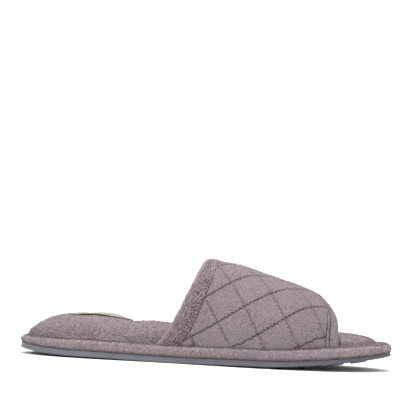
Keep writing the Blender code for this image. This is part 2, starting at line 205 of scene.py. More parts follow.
def grid_faces(rows, columns, closed=False):
    """Quads of a grid of points, row by row; a closed grid also joins its last column to its first."""
    i, j = np.meshgrid(np.arange(rows - 1), np.arange(columns if closed else columns - 1), indexing="ij")
    corner, beside = i * columns + j, i * columns + (j + 1) % columns
    return np.stack([corner, beside, beside + columns, corner + columns], axis=-1).reshape(-1, 4)


def rung_faces(first, size):
    """Quads across a ring of points, from each one on its first side to its partner on the second."""
    i = np.arange(size // 2)
    return first + np.stack([i, i + 1, (size - i - 1) % size, (size - i) % size], axis=-1)


def add_piece(name, points, faces, material, values=None):
    """A shown piece, placed as the solids are; values holds a number for each point by attribute name."""
    mesh = bpy.data.meshes.new(name)
    placed = (points - (CENTRE[0], CENTRE[1], 0.0)) * MM
    mesh.from_pydata(placed.tolist(), [], [face for part in faces for face in part.tolist()])
    for attribute, numbers in (values or {}).items():
        layer = mesh.attributes.new(attribute, "FLOAT", "POINT")
        layer.data.foreach_set("value", numbers.astype(np.float32))
    shape = bmesh.new()
    shape.from_mesh(mesh)
    bmesh.ops.remove_doubles(shape, verts=shape.verts, dist=1e-7)
    bmesh.ops.recalc_face_normals(shape, faces=shape.faces)
    shape.to_mesh(mesh)
    shape.free()
    mesh.shade_smooth()
    mesh.materials.append(material)
    piece = bpy.data.objects.new(name, mesh)
    bpy.context.scene.collection.objects.link(piece)
    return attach(piece, "root")


def outsole_rubber():
    """Thermoplastic rubber from a fine-grained mould: satin, with a chalky bloom in patches, and painted
    shade: lighter at the heel, darker towards the toe.
    """
    material, tree, surface = new_material("moulded thermoplastic rubber")
    place = add_node(tree, "TexCoord", output="Object")
    bloom = add_node(tree, "TexNoise", {"Scale": 1 / (BLOOM_SIZE * MM), "Detail": 4.0}, {"Vector": place})
    # the mould's 0.2 mm grain is drawn three times as coarse, so that it shows
    grain = add_node(tree, "TexNoise", {"Scale": 1 / (MOULD_GRAIN * MM), "Detail": 2.0}, {"Vector": place})
    along = add_node(tree, "SeparateXYZ", {}, {"Vector": place})
    # painted light and shade: the rubber is made lighter at the heel and darker towards the toe
    toe = LENGTH / 2 * MM
    spread = {"From Min": toe, "From Max": -toe, "To Min": -TOE_SHADE_SPREAD, "To Max": TOE_SHADE_SPREAD}
    toe_shade = add_node(tree, "MapRange", spread, {"Value": along})
    share = add_node(tree, "Math", {"operation": "ADD", "use_clamp": True}, {0: bloom, 1: toe_shade})
    dyes = {"Color1": linear(RUBBER), "Color2": linear(RUBBER_BLOOM)}
    colour = add_node(tree, "MixRGB", dyes, {"Fac": share})
    sheen = add_node(tree, "MapRange", {"To Min": 0.42, "To Max": 0.60}, {"Value": bloom})
    bump = add_node(tree, "Bump", {"Strength": 0.25, "Distance": 0.1 * MM}, {"Height": grain})
    shader = add_node(
        tree,
        "BsdfPrincipled",
        {"IOR": 1.5, "Specular IOR Level": 0.4},
        {"Base Color": colour, "Roughness": sheen, "Normal": bump},
    )
    tree.links.new(shader, surface)
    return material


def outsole():
    bars = [start + k * BAR_PITCH for start, count in (HEEL_BARS, FOREFOOT_BARS) for k in range(count)]
    edges = [x + dx for x in bars for dx in (0, BAR_FLANK, BAR_WIDTH - BAR_FLANK, BAR_WIDTH)]
    even = LENGTH * (1 - np.cos(np.linspace(0, math.pi, OUTSOLE_STATIONS + 1))) / 2
    stations = np.unique(np.concatenate([even, edges])) / LENGTH

    def rows(inset):
        lateral, medial = plan_sides(inset)
        x = lateral[0, 0] + (lateral[-1, 0] - lateral[0, 0]) * stations
        return x, np.interp(x, lateral[:, 0], lateral[:, 1]), np.interp(x, medial[:, 0], medial[:, 1])

    rings = []
    for inset, up in OUTSOLE_EDGE:
        x, lateral, medial = rows(inset)
        z = plate_foot(x) + up * plate_thick(x) / PLATE
        there, back = np.column_stack([x, lateral, z]), np.column_stack([x, medial, z])[-2:0:-1]
        rings.append(np.vstack([there, back]))
    size = len(rings[0])
    side = grid_faces(len(rings), size, closed=True)
    top = rung_faces((len(rings) - 1) * size, size)

    # underside: the bars stand on it, cut lengthways by slots
    x, lateral, medial = rows(OUTSOLE_EDGE[0][0])
    columns = [lateral]
    inner = [np.interp(x, *curve.T) for curve in plan_sides(BAR_INSET + BAR_FLANK)]
    outer = [np.interp(x, *curve.T) for curve in plan_sides(BAR_INSET)]
    raised = [np.zeros(len(x))]
    on_bar = np.max([np.clip(np.minimum(x - b, b + BAR_WIDTH - x) / BAR_FLANK, 0, 1) for b in bars], axis=0)
    columns.append(outer[0])
    raised.append(np.zeros(len(x)))
    for k in range(TREAD_SLOTS):
        for share, height in SLOT_PROFILE:
            t = (k + share) / TREAD_SLOTS
            columns.append(inner[0] + (inner[1] - inner[0]) * t)
            raised.append(on_bar * height)
    columns += [inner[1], outer[1], medial]
    raised += [on_bar, np.zeros(len(x)), np.zeros(len(x))]
    under = [
        np.column_stack([x, y, plate_foot(x) + up * (sole_lift(x) - plate_foot(x))])
        for y, up in zip(columns, raised)
    ]
    first = len(rings) * size
    tread = first + grid_faces(len(under), len(x))
    points = np.vstack(rings + under)
    return add_piece("outsole", points, [side, top, tread], outsole_rubber())


piece = outsole()
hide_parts("outsole")


# Wrapped midsole
# A thin fibre midsole with a strip of terry turned over its edge and sewn down on top, so that a soft
# roll runs all round the sole. It is cemented to the outsole.

HEIGHTS = (
    # x, wrap thickness, footbed crown above the wrap
    (0.0, 4.0, 6.8),
    (24.0, 6.3, 14.5),
    (45.0, 7.2, 16.7),
    (62.0, 7.2, 16.2),
    (79.0, 7.2, 13.3),
    (90.0, 7.2, 14.0),
    (140.0, 7.2, 11.2),
    (180.0, 7.2, 9.4),
    (215.0, 7.5, 8.0),
    (235.0, 6.8, 6.7),
    (260.0, 5.2, 4.3),
)
WRAP_ROLL = (
    # inset from the plan, share of the wrap's thickness
    (3.2, 0.0),
    (1.7, 0.02),
    (0.9, 0.12),
    (0.6, 0.38),
    (0.7, 0.66),
    (1.4, 0.87),
    (3.0, 0.97),
    (5.6, 1.0),
    (15.0, 1.0),
)
WRAP_AROUND, WRAP_ACROSS = 1000, 34
WRAP_USUAL = 7.0
WRAP_PILE, WRAP_SEED = 0.6, 11
WRAP_UNEVEN, WRAP_BUMPS = 0.12, 9.0
WRAP_SHADE, SHADE_RUN, SHADE_LEFT, SHADE_RAGGED = 3.2, 2.0, 0.4, 1.5
WRAP_TUFTS, WRAP_SHOWN = 20000, slice(3, -8)
SEAM_ROW, SEAM_ROWS, SEAM_LONGER, SEAM_DENSER = 17.0, 2.0, 0.8, 2.5
WRAP_LIGHT_TONE = (
    # x, painted light and shade on the pile along the rim
    (0.0, 1.14),
    (40.0, 1.1),
    (130.0, 1.02),
    (175.0, 0.92),
    (225.0, 1.08),
    (250.0, 1.16),
)
TERRY_TIP, TERRY_ROOT, TERRY_DOWN = "#94878A", "#46393D", "#E4DCDD"
TERRY_LOOP, TERRY_WEAR, TERRY_SHEEN, WRAP_SPECKLE = 1.15, 16.0, 0.4, 0.3
LOOP_PART, CLUMP_PASSES = 0.9, 2
NAP_FOOT, NAP_RISE = 0.52, 0.42
WAVES, WAVE_SIZES = 7, (0.8, 1.6)
TUFT_LONG, TUFT_WIDE, TUFT_LEAN = 0.6, 0.4, 0.5
TUFT_SCATTER, TUFT_SUNK, TUFT_FOOT, TUFT_LENGTHS = 0.2, 0.3, 0.4, (0.55, 1.25)


def table_line(table, x):
    """The table's second column, in straight lines between its rows."""
    return np.interp(x, *np.array(table).T)


def table_curve(table, column, x):
    """The table's column as a smooth function of its first column."""
    rows = np.asarray(table, float)
    stations, values = rows[:, 0], rows[:, column]
    slopes = np.gradient(values, stations)
    x = np.clip(x, stations[0], stations[-1])
    i = np.clip(np.searchsorted(stations, x) - 1, 0, len(stations) - 2)
    run = stations[i + 1] - stations[i]
    return hermite(values[i], values[i + 1], slopes[i], slopes[i + 1], run, (x - stations[i]) / run)


def wrap_foot(x):
    return plate_foot(x) + plate_thick(x) + GAP


def seam_height(x):
    """Where the upper and the footbed stand, just clear of the wrap."""
    return wrap_foot(x) + table_curve(HEIGHTS, 1, x) + GAP


def even_curve(points, count):
    """The same curve with count + 1 points evenly spaced along it."""
    run = np.concatenate([[0], np.cumsum(np.linalg.norm(np.diff(points, axis=0), axis=1))])
    stops = np.linspace(0, run[-1], count + 1)
    return np.column_stack([np.interp(stops, run, column) for column in points.T])


def plan_ring(inset, count):
    """The outline drawn in by inset: count + 1 even points on the lateral side, then back on the medial."""
    lateral, medial = (even_curve(curve, count) for curve in plan_sides(inset))
    return np.vstack([lateral, medial[-2:0:-1]])


def grid_normals(grid):
    """Unit normals of a grid of points whose last column joins its first."""
    across = np.roll(grid, -1, axis=1) - np.roll(grid, 1, axis=1)
    normal = np.cross(across, np.gradient(grid, axis=0))
    return normal / np.maximum(np.linalg.norm(normal, axis=-1, keepdims=True), 1e-9)


def ramp(x, start, run):
    """0 up to start, then rising to 1 over the run."""
    return ((x - start) / run).clip(0, 1)


def hump(x, middle, half):
    """A smooth hump of height 1 and the given half width."""
    return np.exp(-(((x - middle) / half) ** 2))


def pile_relief(shape, seed):
    """Heights from 0 to 1 of the loops of terry on a grid: single loops over clumps of a few loops."""
    rng = np.random.default_rng(seed)
    loops, clumps = rng.random(shape), rng.random(shape)
    for axis in (0, 1) * CLUMP_PASSES:
        clumps = (np.roll(clumps, 1, axis) + clumps + np.roll(clumps, -1, axis)) / 3
    clumps = (clumps - clumps.min()) / np.ptp(clumps)
    return LOOP_PART * loops + (1 - LOOP_PART) * clumps


def nap_shade(relief):
    """Height in the pile, 0 at its roots and 1 at its tips, of a sheared nap with the given relief."""
    return NAP_FOOT + NAP_RISE * relief


def parted_marks(shape, share, seed):
    """Short marks where the pile is parted: the given share of the grid's points, each two points long."""
    found = np.random.default_rng(seed).random(shape) < share / 2
    return found | np.roll(found, 1, axis=1)


def unevenness(points, size, seed):
    """A soft waviness between about -1 and 1, with bumps of the given size."""
    rng = np.random.default_rng(seed)
    total = np.zeros(points.shape[:-1])
    for _ in range(WAVES):
        direction = rng.normal(size=3)
        direction *= 2 * math.pi / (size * rng.uniform(*WAVE_SIZES)) / np.linalg.norm(direction)
        total += np.sin(points @ direction + rng.uniform(0, 2 * math.pi))
    return total / math.sqrt(WAVES)


def tufts(grid, normals, tip, weight, count, length, width, lean, seed, foot_share=TUFT_FOOT):
    """Slim closed tufts of pile scattered over a grid: their points, faces and heights in the pile."""
    rng = np.random.default_rng(seed)
    pick = rng.choice(weight.size, count, p=weight.ravel() / weight.sum())
    roots = grid.reshape(-1, 3)[pick] + rng.normal(scale=TUFT_SCATTER, size=(count, 3))
    up = unit(normals.reshape(-1, 3)[pick] + rng.normal(scale=lean, size=(count, 3)))
    side = unit(np.cross(up, rng.normal(size=(count, 3))))
    other = np.cross(up, side)
    tall = np.broadcast_to(length, weight.shape).ravel()[pick] * rng.uniform(*TUFT_LENGTHS, size=count)
    foot = roots - TUFT_SUNK * up
    corners = [
        foot + width * (math.cos(turn) * side + math.sin(turn) * other) / 2
        for turn in (0, 2 * math.pi / 3, 4 * math.pi / 3)
    ]
    made = np.stack([*corners, roots + tall[:, None] * up], axis=1).reshape(-1, 3)
    faces = np.array([(0, 1, 3), (1, 2, 3), (2, 0, 3), (2, 1, 0)])
    faces = (faces[None] + 4 * np.arange(count)[:, None, None]).reshape(-1, 3)
    tips = tip.ravel()[pick]
    heights = np.stack([foot_share * tips] * 3 + [tips], axis=1).ravel()
    return made, faces, heights


def add_terry_piece(name, points, quads, pile, fuzz, material, quilting=None):
    """A terry piece: its ground surface with the tufts that stand on it, and its place in the quilting."""
    fuzz_points, fuzz_faces, fuzz_heights = fuzz
    faces = [quads, fuzz_faces + len(points)]
    values = {"pile": np.concatenate([pile.ravel(), fuzz_heights])}
    for direction, place in (quilting or {}).items():
        # tufts stand clear of the sewn lines
        values[direction] = np.concatenate([place, np.full(len(fuzz_points), 0.5)])
    return add_piece(name, np.vstack([points, fuzz_points]), faces, material, values)


def terry_cloth(name, tip, root, loop, speckle, sheen, sewn=None):
    """Cotton-blend terry, looped and sheared: matt and downy, speckled by its loops, with painted shade
    between them and down to their roots.
    """
    material, tree, surface = new_material(name)
    place = add_node(tree, "TexCoord", output="Object")
    height = add_node(tree, "Attribute", {"attribute_name": "pile"}, output="Fac")
    loops = add_node(tree, "TexVoronoi", {"Scale": 1 / (loop * MM)}, {"Vector": place})
    fall = {"From Min": 0.15, "From Max": 0.75, "To Min": speckle / 2, "To Max": -speckle / 2}
    crown = add_node(tree, "MapRange", fall, {"Value": loops})
    share = add_node(tree, "Math", {"operation": "ADD", "use_clamp": True}, {0: height, 1: crown})
    if sewn:
        share = sewn(tree, place, share)
    # painted shade: the colour runs from the tip colour down to the darker root colour, deep in the pile
    dyed = add_node(tree, "MixRGB", {"Color1": linear(root), "Color2": linear(tip)}, {"Fac": share})
    wear = add_node(tree, "TexNoise", {"Scale": 1 / (TERRY_WEAR * MM), "Detail": 2.0}, {"Vector": place})
    fade = {"From Min": 0.3, "From Max": 0.7, "To Min": 0.97, "To Max": 1.03}
    tone = add_node(tree, "MapRange", fade, {"Value": wear})
    colour = add_node(tree, "HueSaturation", {}, {"Color": dyed, "Value": tone})
    bump = add_node(tree, "Bump", {"Strength": 0.5, "Distance": 0.3 * MM}, {"Height": share})
    matt = {"Roughness": 0.95, "Specular IOR Level": 0.1}
    down = {"Sheen Weight": sheen, "Sheen Roughness": 0.45, "Sheen Tint": linear(TERRY_DOWN)}
    shader = add_node(tree, "BsdfPrincipled", matt | down, {"Base Color": colour, "Normal": bump})
    tree.links.new(shader, surface)
    return material


def wrapped_midsole():
    profile = even_curve(np.array(WRAP_ROLL) * (1.0, WRAP_USUAL), WRAP_ACROSS)
    rings = []
    for inset, height in profile:
        ring = plan_ring(inset, WRAP_AROUND // 2)
        x = ring[:, 0]
        z = wrap_foot(x) + height / WRAP_USUAL * table_curve(HEIGHTS, 1, x)
        rings.append(np.column_stack([ring, z]))
    grid = np.array(rings)
    normals = grid_normals(grid)
    nap = pile_relief(grid.shape[:2], WRAP_SEED)
    nap[0] = 0.0
    relief = WRAP_PILE * nap + WRAP_UNEVEN * unevenness(grid, WRAP_BUMPS, WRAP_SEED)
    shaped = grid + normals * relief[..., None]
    # painted shade: the lowest loops are darkened, as in the shade of the roll
    level = np.arange(len(grid))[:, None] - SHADE_RAGGED * nap
    lit = SHADE_LEFT + (1 - SHADE_LEFT) * ramp(level, WRAP_SHADE, SHADE_RUN)
    # the rim's tone along its length is painted light and shade
    pile = nap_shade(nap) * lit * table_line(WRAP_LIGHT_TONE, grid[..., 0])
    levels, size = grid.shape[:2]
    sides = grid_faces(levels, size, closed=True)
    quads = np.vstack([sides, rung_faces(0, size), rung_faces((levels - 1) * size, size)])
    # where the footbed and the upper stand on it, longer pile closes over the seam
    seam = hump(np.arange(levels)[:, None] + np.zeros_like(nap), SEAM_ROW, SEAM_ROWS)[WRAP_SHOWN]
    fuzz = tufts(
        shaped[WRAP_SHOWN],
        normals[WRAP_SHOWN],
        0.5 + nap[WRAP_SHOWN] / 2,
        1 + SEAM_DENSER * seam,
        WRAP_TUFTS,
        TUFT_LONG + SEAM_LONGER * seam,
        TUFT_WIDE,
        TUFT_LEAN,
        WRAP_SEED,
    )
    look = TERRY_TIP, TERRY_ROOT, TERRY_LOOP, WRAP_SPECKLE, TERRY_SHEEN
    material = terry_cloth("sheared terry, wrap", *look)
    return add_terry_piece("wrapped_midsole", shaped.reshape(-1, 3), quads, pile, fuzz, material)


piece = wrapped_midsole()
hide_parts("wrapped_midsole")


# Footbed
# A foam pad covered in the same terry and sewn down inside the roll: a high pillow under the heel, a
# dip in front of it and a low mound under the toes.

BED_INSETS = (
    # x, inset from the plan
    (0.0, 5.0),
    (68.0, 5.0),
    (92.0, 10.2),
    (225.0, 10.2),
    (260.0, 11.5),
)
BED_ROUND = 2.6
BED_HEEL_RUN, BED_TOE_RUN = 33.0, 28.0
BED_AROUND, BED_ACROSS = 760, 64
BED_PILE, BED_SEED = 0.55, 23
BED_SWELL, BED_SWELLS, BED_FIRM = 0.35, 26.0, 0.1
BED_UNEVEN, BED_BUMPS = 0.12, 8.0
BED_TUFTS, BED_SHOWN = 22000, slice(3, None)
BED_FILL, BED_SPECKLE = 0.7, 0.34
BED_PARTED, PARTED_SHARE, PARTED_TONE, PARTED_BARE = 0.42, 0.36, 0.5, 0.8
BED_LIGHT_TONE = (
    # x, painted light and shade on the pile: darker at the heel, lighter towards the toe
    (10.0, 0.82),
    (45.0, 0.92),
    (95.0, 1.04),
    (130.0, 1.06),
)
SEAM_LIGHT_FROM, SEAM_LIGHT_RUN, SEAM_LIGHT_UP, SEAM_LIGHT_CLIMB = 48.0, 20.0, 0.3, 0.14
HEM_SHADOW_X, HEM_SHADOW_HALF, HEM_SHADOW_DARK = 222.4, 1.1, 0.75
HEM_SHADOW_CLIMB, HEM_SHADOW_FADE = 0.35, 0.4
LABEL_X, LABEL_LONG, LABEL_WIDE = 55.2, 44.0, 31.0


def bed_surface():
    """A grid of rings on the footbed, from its foot up to its spine."""
    foot = plan_sides(table_curve(BED_INSETS, 1, OUTLINE[:, 0]))
    lateral, medial = (even_curve(side, BED_AROUND // 2) for side in foot)
    heel, toe = lateral[0, 0], lateral[-1, 0]
    step = 1 - (BED_HEEL_RUN + BED_TOE_RUN) / (toe - heel)
    angle = np.linspace(0, math.pi / 2, BED_ACROSS + 1)
    out, up = np.cos(angle).clip(0) ** (2 / BED_ROUND), np.sin(angle) ** (2 / BED_ROUND)
    x = np.concatenate([lateral[:, 0], medial[-2:0:-1, 0]])
    y = np.concatenate([lateral[:, 1], medial[-2:0:-1, 1]])
    middle = (np.interp(x, *foot[0].T) + np.interp(x, *foot[1].T)) / 2
    spine = heel + BED_HEEL_RUN + (x - heel) * step
    px = spine + (x - spine) * out[:, None]
    py = middle + (y - middle) * out[:, None]
    return np.stack([px, py, seam_height(px) + table_curve(HEIGHTS, 2, px) * up[:, None]], axis=-1)


def footbed():
    grid = bed_surface()
    x = grid[..., 0]
    normals = grid_normals(grid)
    nap = pile_relief(grid.shape[:2], BED_SEED)
    # the label presses the pile flat, and low on the sides the pull of the seam parts it
    bare = ((x - LABEL_X) / LABEL_LONG) ** 2 + (grid[..., 1] / LABEL_WIDE) ** 2 < 0.25
    nap[bare] = 0.0
    nap[0] = 0.0
    climb = np.linspace(0, 1, len(grid))[:, None]
    parted = parted_marks(nap.shape, PARTED_SHARE * (1 - ramp(climb, 0, BED_PARTED)), BED_SEED + 2)
    # the pile's tone along the bed is painted light and shade
    pile = nap_shade(nap) * np.where(parted, PARTED_TONE, 1.0) * table_line(BED_LIGHT_TONE, x)
    # painted light: in front of the heel the pile low over the seam is made paler, against the seam's shade
    seam_light = ramp(x, SEAM_LIGHT_FROM, SEAM_LIGHT_RUN) * (1 - ramp(climb, 0, SEAM_LIGHT_CLIMB))
    # painted shadow: at the ends of the toe opening the footbed is darkened where the hem shades it
    hem_shadow = hump(x, HEM_SHADOW_X, HEM_SHADOW_HALF) * (1 - ramp(climb, HEM_SHADOW_CLIMB, HEM_SHADOW_FADE))
    pile = ((pile + SEAM_LIGHT_UP * seam_light) * (1 - HEM_SHADOW_DARK * hem_shadow)).clip(0, 1)
    swell = BED_SWELL * unevenness(grid, BED_SWELLS, BED_SEED)
    swell += BED_UNEVEN * unevenness(grid, BED_BUMPS, BED_SEED + 1)
    relief = BED_PILE * nap * ~parted + swell * ramp(climb, 0, BED_FIRM)
    shaped = grid + normals * relief[..., None]
    shaped[-1] = (shaped[-1] + np.roll(shaped[-1][::-1], 1, axis=0)) / 2
    levels, size = grid.shape[:2]
    quads = np.vstack([grid_faces(levels, size, closed=True), rung_faces(0, size)])
    weight = (1 - PARTED_BARE * parted) * ~bare
    shown = [part[BED_SHOWN] for part in (shaped, normals, pile, weight)]
    fuzz = tufts(*shown, BED_TUFTS, TUFT_LONG, TUFT_WIDE, TUFT_LEAN, BED_SEED)
    look = TERRY_TIP, TERRY_ROOT, TERRY_LOOP, BED_SPECKLE, TERRY_SHEEN
    material = terry_cloth("sheared terry, footbed", *look)
    return add_terry_piece("footbed", shaped.reshape(-1, 3), quads, pile, fuzz, material)


bed = footbed()
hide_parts("footbed")


# Heel label
# A plain oval label woven in cream satin, its edge overcast with dark brown thread, lying on the heel of
# the footbed and sewn down through its edge.

LABEL_THICK = 0.6
LABEL_RINGS, LABEL_AROUND, LABEL_INNER = 26, 150, 0.04
LABEL_EVENED = 5
LABEL_STAND = (
    # share of its length from the middle, height off the pile at the lateral edge, further at the medial
    (-0.5, 0.4, -0.4),
    (-0.25, 1.1, -0.6),
    (0.05, 1.1, 0.1),
    (0.3, 0.5, 1.3),
    (0.5, 0.2, 1.5),
)
# a wave texture of scale 1 has 3.2 bands to the unit
LABEL_THREAD, WAVE_BANDS = 0.7, 3.2
EDGING_RADIUS, EDGING_TWISTS, EDGING_SIDES = 0.55, 90, 8
TWIST_POINTS, EDGING_SLIM, EDGING_FULL = 5, 0.8, 0.3
CREAM, CREAM_SHADE = "#9E9980", "#857F66"
EDGING_HIGHLIGHT, EDGING_SHADED = "#453B35", "#28221F"


def woven_tape():
    """Satin-woven polyester tape: fine ribs of warp and weft, a soft gloss, slightly olive cream."""
    material, tree, surface = new_material("woven satin tape")
    place = add_node(tree, "TexCoord", output="Object")
    # threads of about 0.25 mm are drawn at 0.7 mm, so that they show
    ribs = {"Scale": 1 / (LABEL_THREAD * MM) / WAVE_BANDS, "Distortion": 0.4}
    warp, weft = (
        add_node(tree, "TexWave", ribs | {"bands_direction": direction}, {"Vector": place}, "Fac")
        for direction in ("X", "Y")
    )
    cross = add_node(tree, "Math", {"operation": "MULTIPLY"}, {0: warp, 1: weft})
    dyes = {"Color1": linear(CREAM_SHADE), "Color2": linear(CREAM)}
    colour = add_node(tree, "MixRGB", dyes, {"Fac": cross})
    bump = add_node(tree, "Bump", {"Strength": 0.4, "Distance": 0.12 * MM}, {"Height": cross})
    satin = {"Roughness": 0.55, "Specular IOR Level": 0.35, "Sheen Weight": 0.15}
    shader = add_node(tree, "BsdfPrincipled", satin, {"Base Color": colour, "Normal": bump})
    tree.links.new(shader, surface)
    return material


def label_rings(shares):
    """Rings of the label's oval laid on the pile of the footbed."""
    places = [tuple(v.co / MM) for v in bed.data.vertices]
    ground = BVHTree.FromPolygons(places, [f.vertices for f in bed.data.polygons])
    turns = np.linspace(0, 2 * math.pi, LABEL_AROUND, endpoint=False)
    rings = np.zeros((len(shares), LABEL_AROUND, 3))
    for i, share in enumerate(shares):
        for j, turn in enumerate(turns):
            x = LABEL_X + share * math.cos(turn) * LABEL_LONG / 2
            y = share * math.sin(turn) * LABEL_WIDE / 2
            above = (x - CENTRE[0], y - CENTRE[1], LENGTH)
            rings[i, j] = (x, y, ground.ray_cast(above, (0.0, 0.0, -1.0))[0].z)
    for _ in range(LABEL_EVENED):
        z = rings[..., 2]
        z += (np.roll(z, 1, axis=1) + np.roll(z, -1, axis=1) - 2 * z) / 3
        z[1:-1] += (z[:-2] + z[2:] - 2 * z[1:-1]) / 3
    # on the medial side its rear lies on the pile, and its front stands off it
    forward = (rings[..., 0] - LABEL_X) / LABEL_LONG
    medial = rings[..., 1] / LABEL_WIDE + 0.5
    rings[..., 2] += table_curve(LABEL_STAND, 1, forward) + table_curve(LABEL_STAND, 2, forward) * medial
    return rings


def polyester_thread(name, dark, light, roughness, gloss):
    """Twisted polyester thread: a soft gloss, with a painted highlight on the crown of each turn or stitch
    and painted shade where it dives.
    """
    material, tree, surface = new_material(name)
    height = add_node(tree, "Attribute", {"attribute_name": "pile"}, output="Fac")
    colour = add_node(tree, "MixRGB", {"Color1": linear(dark), "Color2": linear(light)}, {"Fac": height})
    shine = {"Roughness": roughness, "Specular IOR Level": gloss}
    shader = add_node(tree, "BsdfPrincipled", shine, {"Base Color": colour})
    tree.links.new(shader, surface)
    return material


label = label_rings(np.linspace(LABEL_INNER, 1.0, LABEL_RINGS))
layers = np.vstack([label - (0, 0, LABEL_THICK), label[::-1]])
count = len(layers)
sheet = grid_faces(count, LABEL_AROUND, closed=True)
ends = np.array([np.arange(LABEL_AROUND), np.arange(LABEL_AROUND) + (count - 1) * LABEL_AROUND])
piece = add_piece("heel_label", layers.reshape(-1, 3), [sheet, ends], woven_tape())
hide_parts("heel_label")

edge = np.vstack([label[-1], label[-1][:1]])
rim = even_curve(edge, EDGING_TWISTS * TWIST_POINTS)[:-1] - (0, 0, LABEL_THICK / 2)
outward = unit((rim - rim.mean(axis=0)) * (1, 1, 0))
angles = np.linspace(0, 2 * math.pi, EDGING_SIDES, endpoint=False)
turn = np.arange(len(rim))[:, None] / TWIST_POINTS + angles / (2 * math.pi)
fullness = np.abs(np.sin(math.pi * turn))
radius = EDGING_RADIUS * (EDGING_SLIM + EDGING_FULL * fullness)
rope = rim[:, None] + radius[..., None] * (
    np.cos(angles)[None, :, None] * outward[:, None] + np.sin(angles)[None, :, None] * np.array([0, 0, 1.0])
)
rope = np.vstack([rope, rope[:1]])
fullness = np.vstack([fullness, fullness[:1]])
rope_faces = grid_faces(len(rope), EDGING_SIDES, closed=True)
# the crown of each turn of the edging gets a painted highlight, its dives painted shade
rope_values = {"pile": fullness.ravel()}
thread = polyester_thread("overcast polyester thread", EDGING_SHADED, EDGING_HIGHLIGHT, 0.6, 0.3)
piece = add_piece("label_edging", rope.reshape(-1, 3), [rope_faces], thread, rope_values)


# Quilted upper
# Two layers of terry with a thin foam between them, quilted in squares of about 21 mm with a lockstitch,
# then cut to the pattern, arched over the forefoot and sewn to the midsole.

SEAM_INSET = 5.5
RIDGE = (
    # x, height of the top line
    (84.0, 72.4),
    (134.0, 70.9),
    (151.0, 68.9),
    (168.0, 63.9),
    (185.0, 59.0),
    (202.0, 53.0),
    (214.0, 48.0),
    (232.0, 40.5),
)
RIDGE_SHARE, ARCH_ROUND = 0.54, 2.3
WALL, PUFF = 4.2, 1.6
TAIL = 9.0
ARCH_STEP, ARCH_SAMPLES, SHARE_STEP, SHARE_END = 0.5, 241, 0.005, 1.1
ARCH_X = np.arange(80.0, 240.0, ARCH_STEP)
SHARES = np.arange(-SHARE_END, SHARE_END + SHARE_STEP, SHARE_STEP)
NORMAL_RUN, NORMAL_TURN = 1.0, 0.02
COLLAR_FOOT = (99.9, -33.0, 12.8)
COLLAR_LEAN, COLLAR_TURN = math.radians(23.6), 0.06
COLLAR_FLARE, FLARE_HEIGHT = 3.0, 15.0
SOLVE_PASSES, SOLVE_STEP = 5, 0.5
COLLAR_WIDTH, COLLAR_NARROW = 13.3, 0.66
TOE_WIDTH, TOE_NARROW, NARROW_CURVE = 9.0, 0.25, 3
COLLAR_RUN = COLLAR_WIDTH / math.cos(COLLAR_LEAN)
TOE_EDGE_X, TOE_SCOOP, TOE_SCOOP_CURVE = 221.0, 14.3, 5.4
CELL, QUILT_SLOPE, QUILT_ORIGIN_X = 20.7, math.radians(16.0), 122.3
QUILT_STEP = CELL * math.sqrt(2)
QUILT_HALF, QUILT_HALF_X = 74.8, 150.0
HEM_PULL, PULL_FROM, PULL_RUN, PULL_PASSES = 4.6, 190.0, 22.0, 8
RIDGE_BLEND = 12.0
STRONG_LINE, FAINT_LINE, HOLE_PINCH = (22.0, 0.8), (26.0, 0.45), 0.012
SEWN_LINES = (
    # attribute counted across the lines, attribute along them, half width, share of the tone left under the
    # painted shade
    ("quilt_rising", "quilt_falling", 0.58, 0.16),
    ("quilt_falling", "quilt_rising", 0.44, 0.42),
)
SEWN_JITTER, SEWN_RAGGED, SEWN_PINCH, SEWN_SLANT = 2.0, 1.0, 0.25, 1.7
PUCKER, PUCKER_SIZE, PUCKER_REACH = 0.035, 7.0, 7.0
STITCH = 2.8
SEAM_TAPER, TAPER_LEFT, SEAM_LIGHT_PATCHES, SEAM_PATCHES = 2.6, 0.4, 0.35, 5.0
SEAM_LIGHT_BY_X = (
    # x, painted light added to the pile over the sole seam, against its shade
    (115.0, 0.1),
    (135.0, 0.4),
    (180.0, 0.4),
    (198.0, 0.05),
)
GATHERS = (
    # x at the lateral seam, length up from it, depth
    (121.0, 6.0, 0.8),
    (170.0, 7.0, 0.6),
    (194.0, 6.0, 0.7),
    (205.0, 5.0, 0.5),
)
GATHER_WIDTH, GATHER_LEFT = 1.3, 0.1
UPPER_AROUND, UPPER_ALONG = 290, 180
LINING_AROUND, LINING_ALONG, LINING_PILE = 110, 70, 0.3
UPPER_PILE, UPPER_SEED = 0.4, 37
UPPER_UNEVEN, UPPER_BUMPS = 0.14, 12.0
UPPER_TUFTS, FURROW_BARE = 16000, 6
FINE_LONG, FINE_WIDE = 0.5, 0.3
UPPER_CAUGHT, FURROW_SHADE, LEAST_TONE = 0.035, 0.45, 0.03
UPPER_LIGHT_TONE = (
    # x, painted light and shade on the pile: darker towards the toe
    (120.0, 0.98),
    (165.0, 0.98),
    (215.0, 0.84),
)
UPPER_FILL, UPPER_SPECKLE = 0.45, 0.28
UPPER_TIP, UPPER_ROOT = "#8F8386", "#46393D"
UPPER_LOOP = 0.95


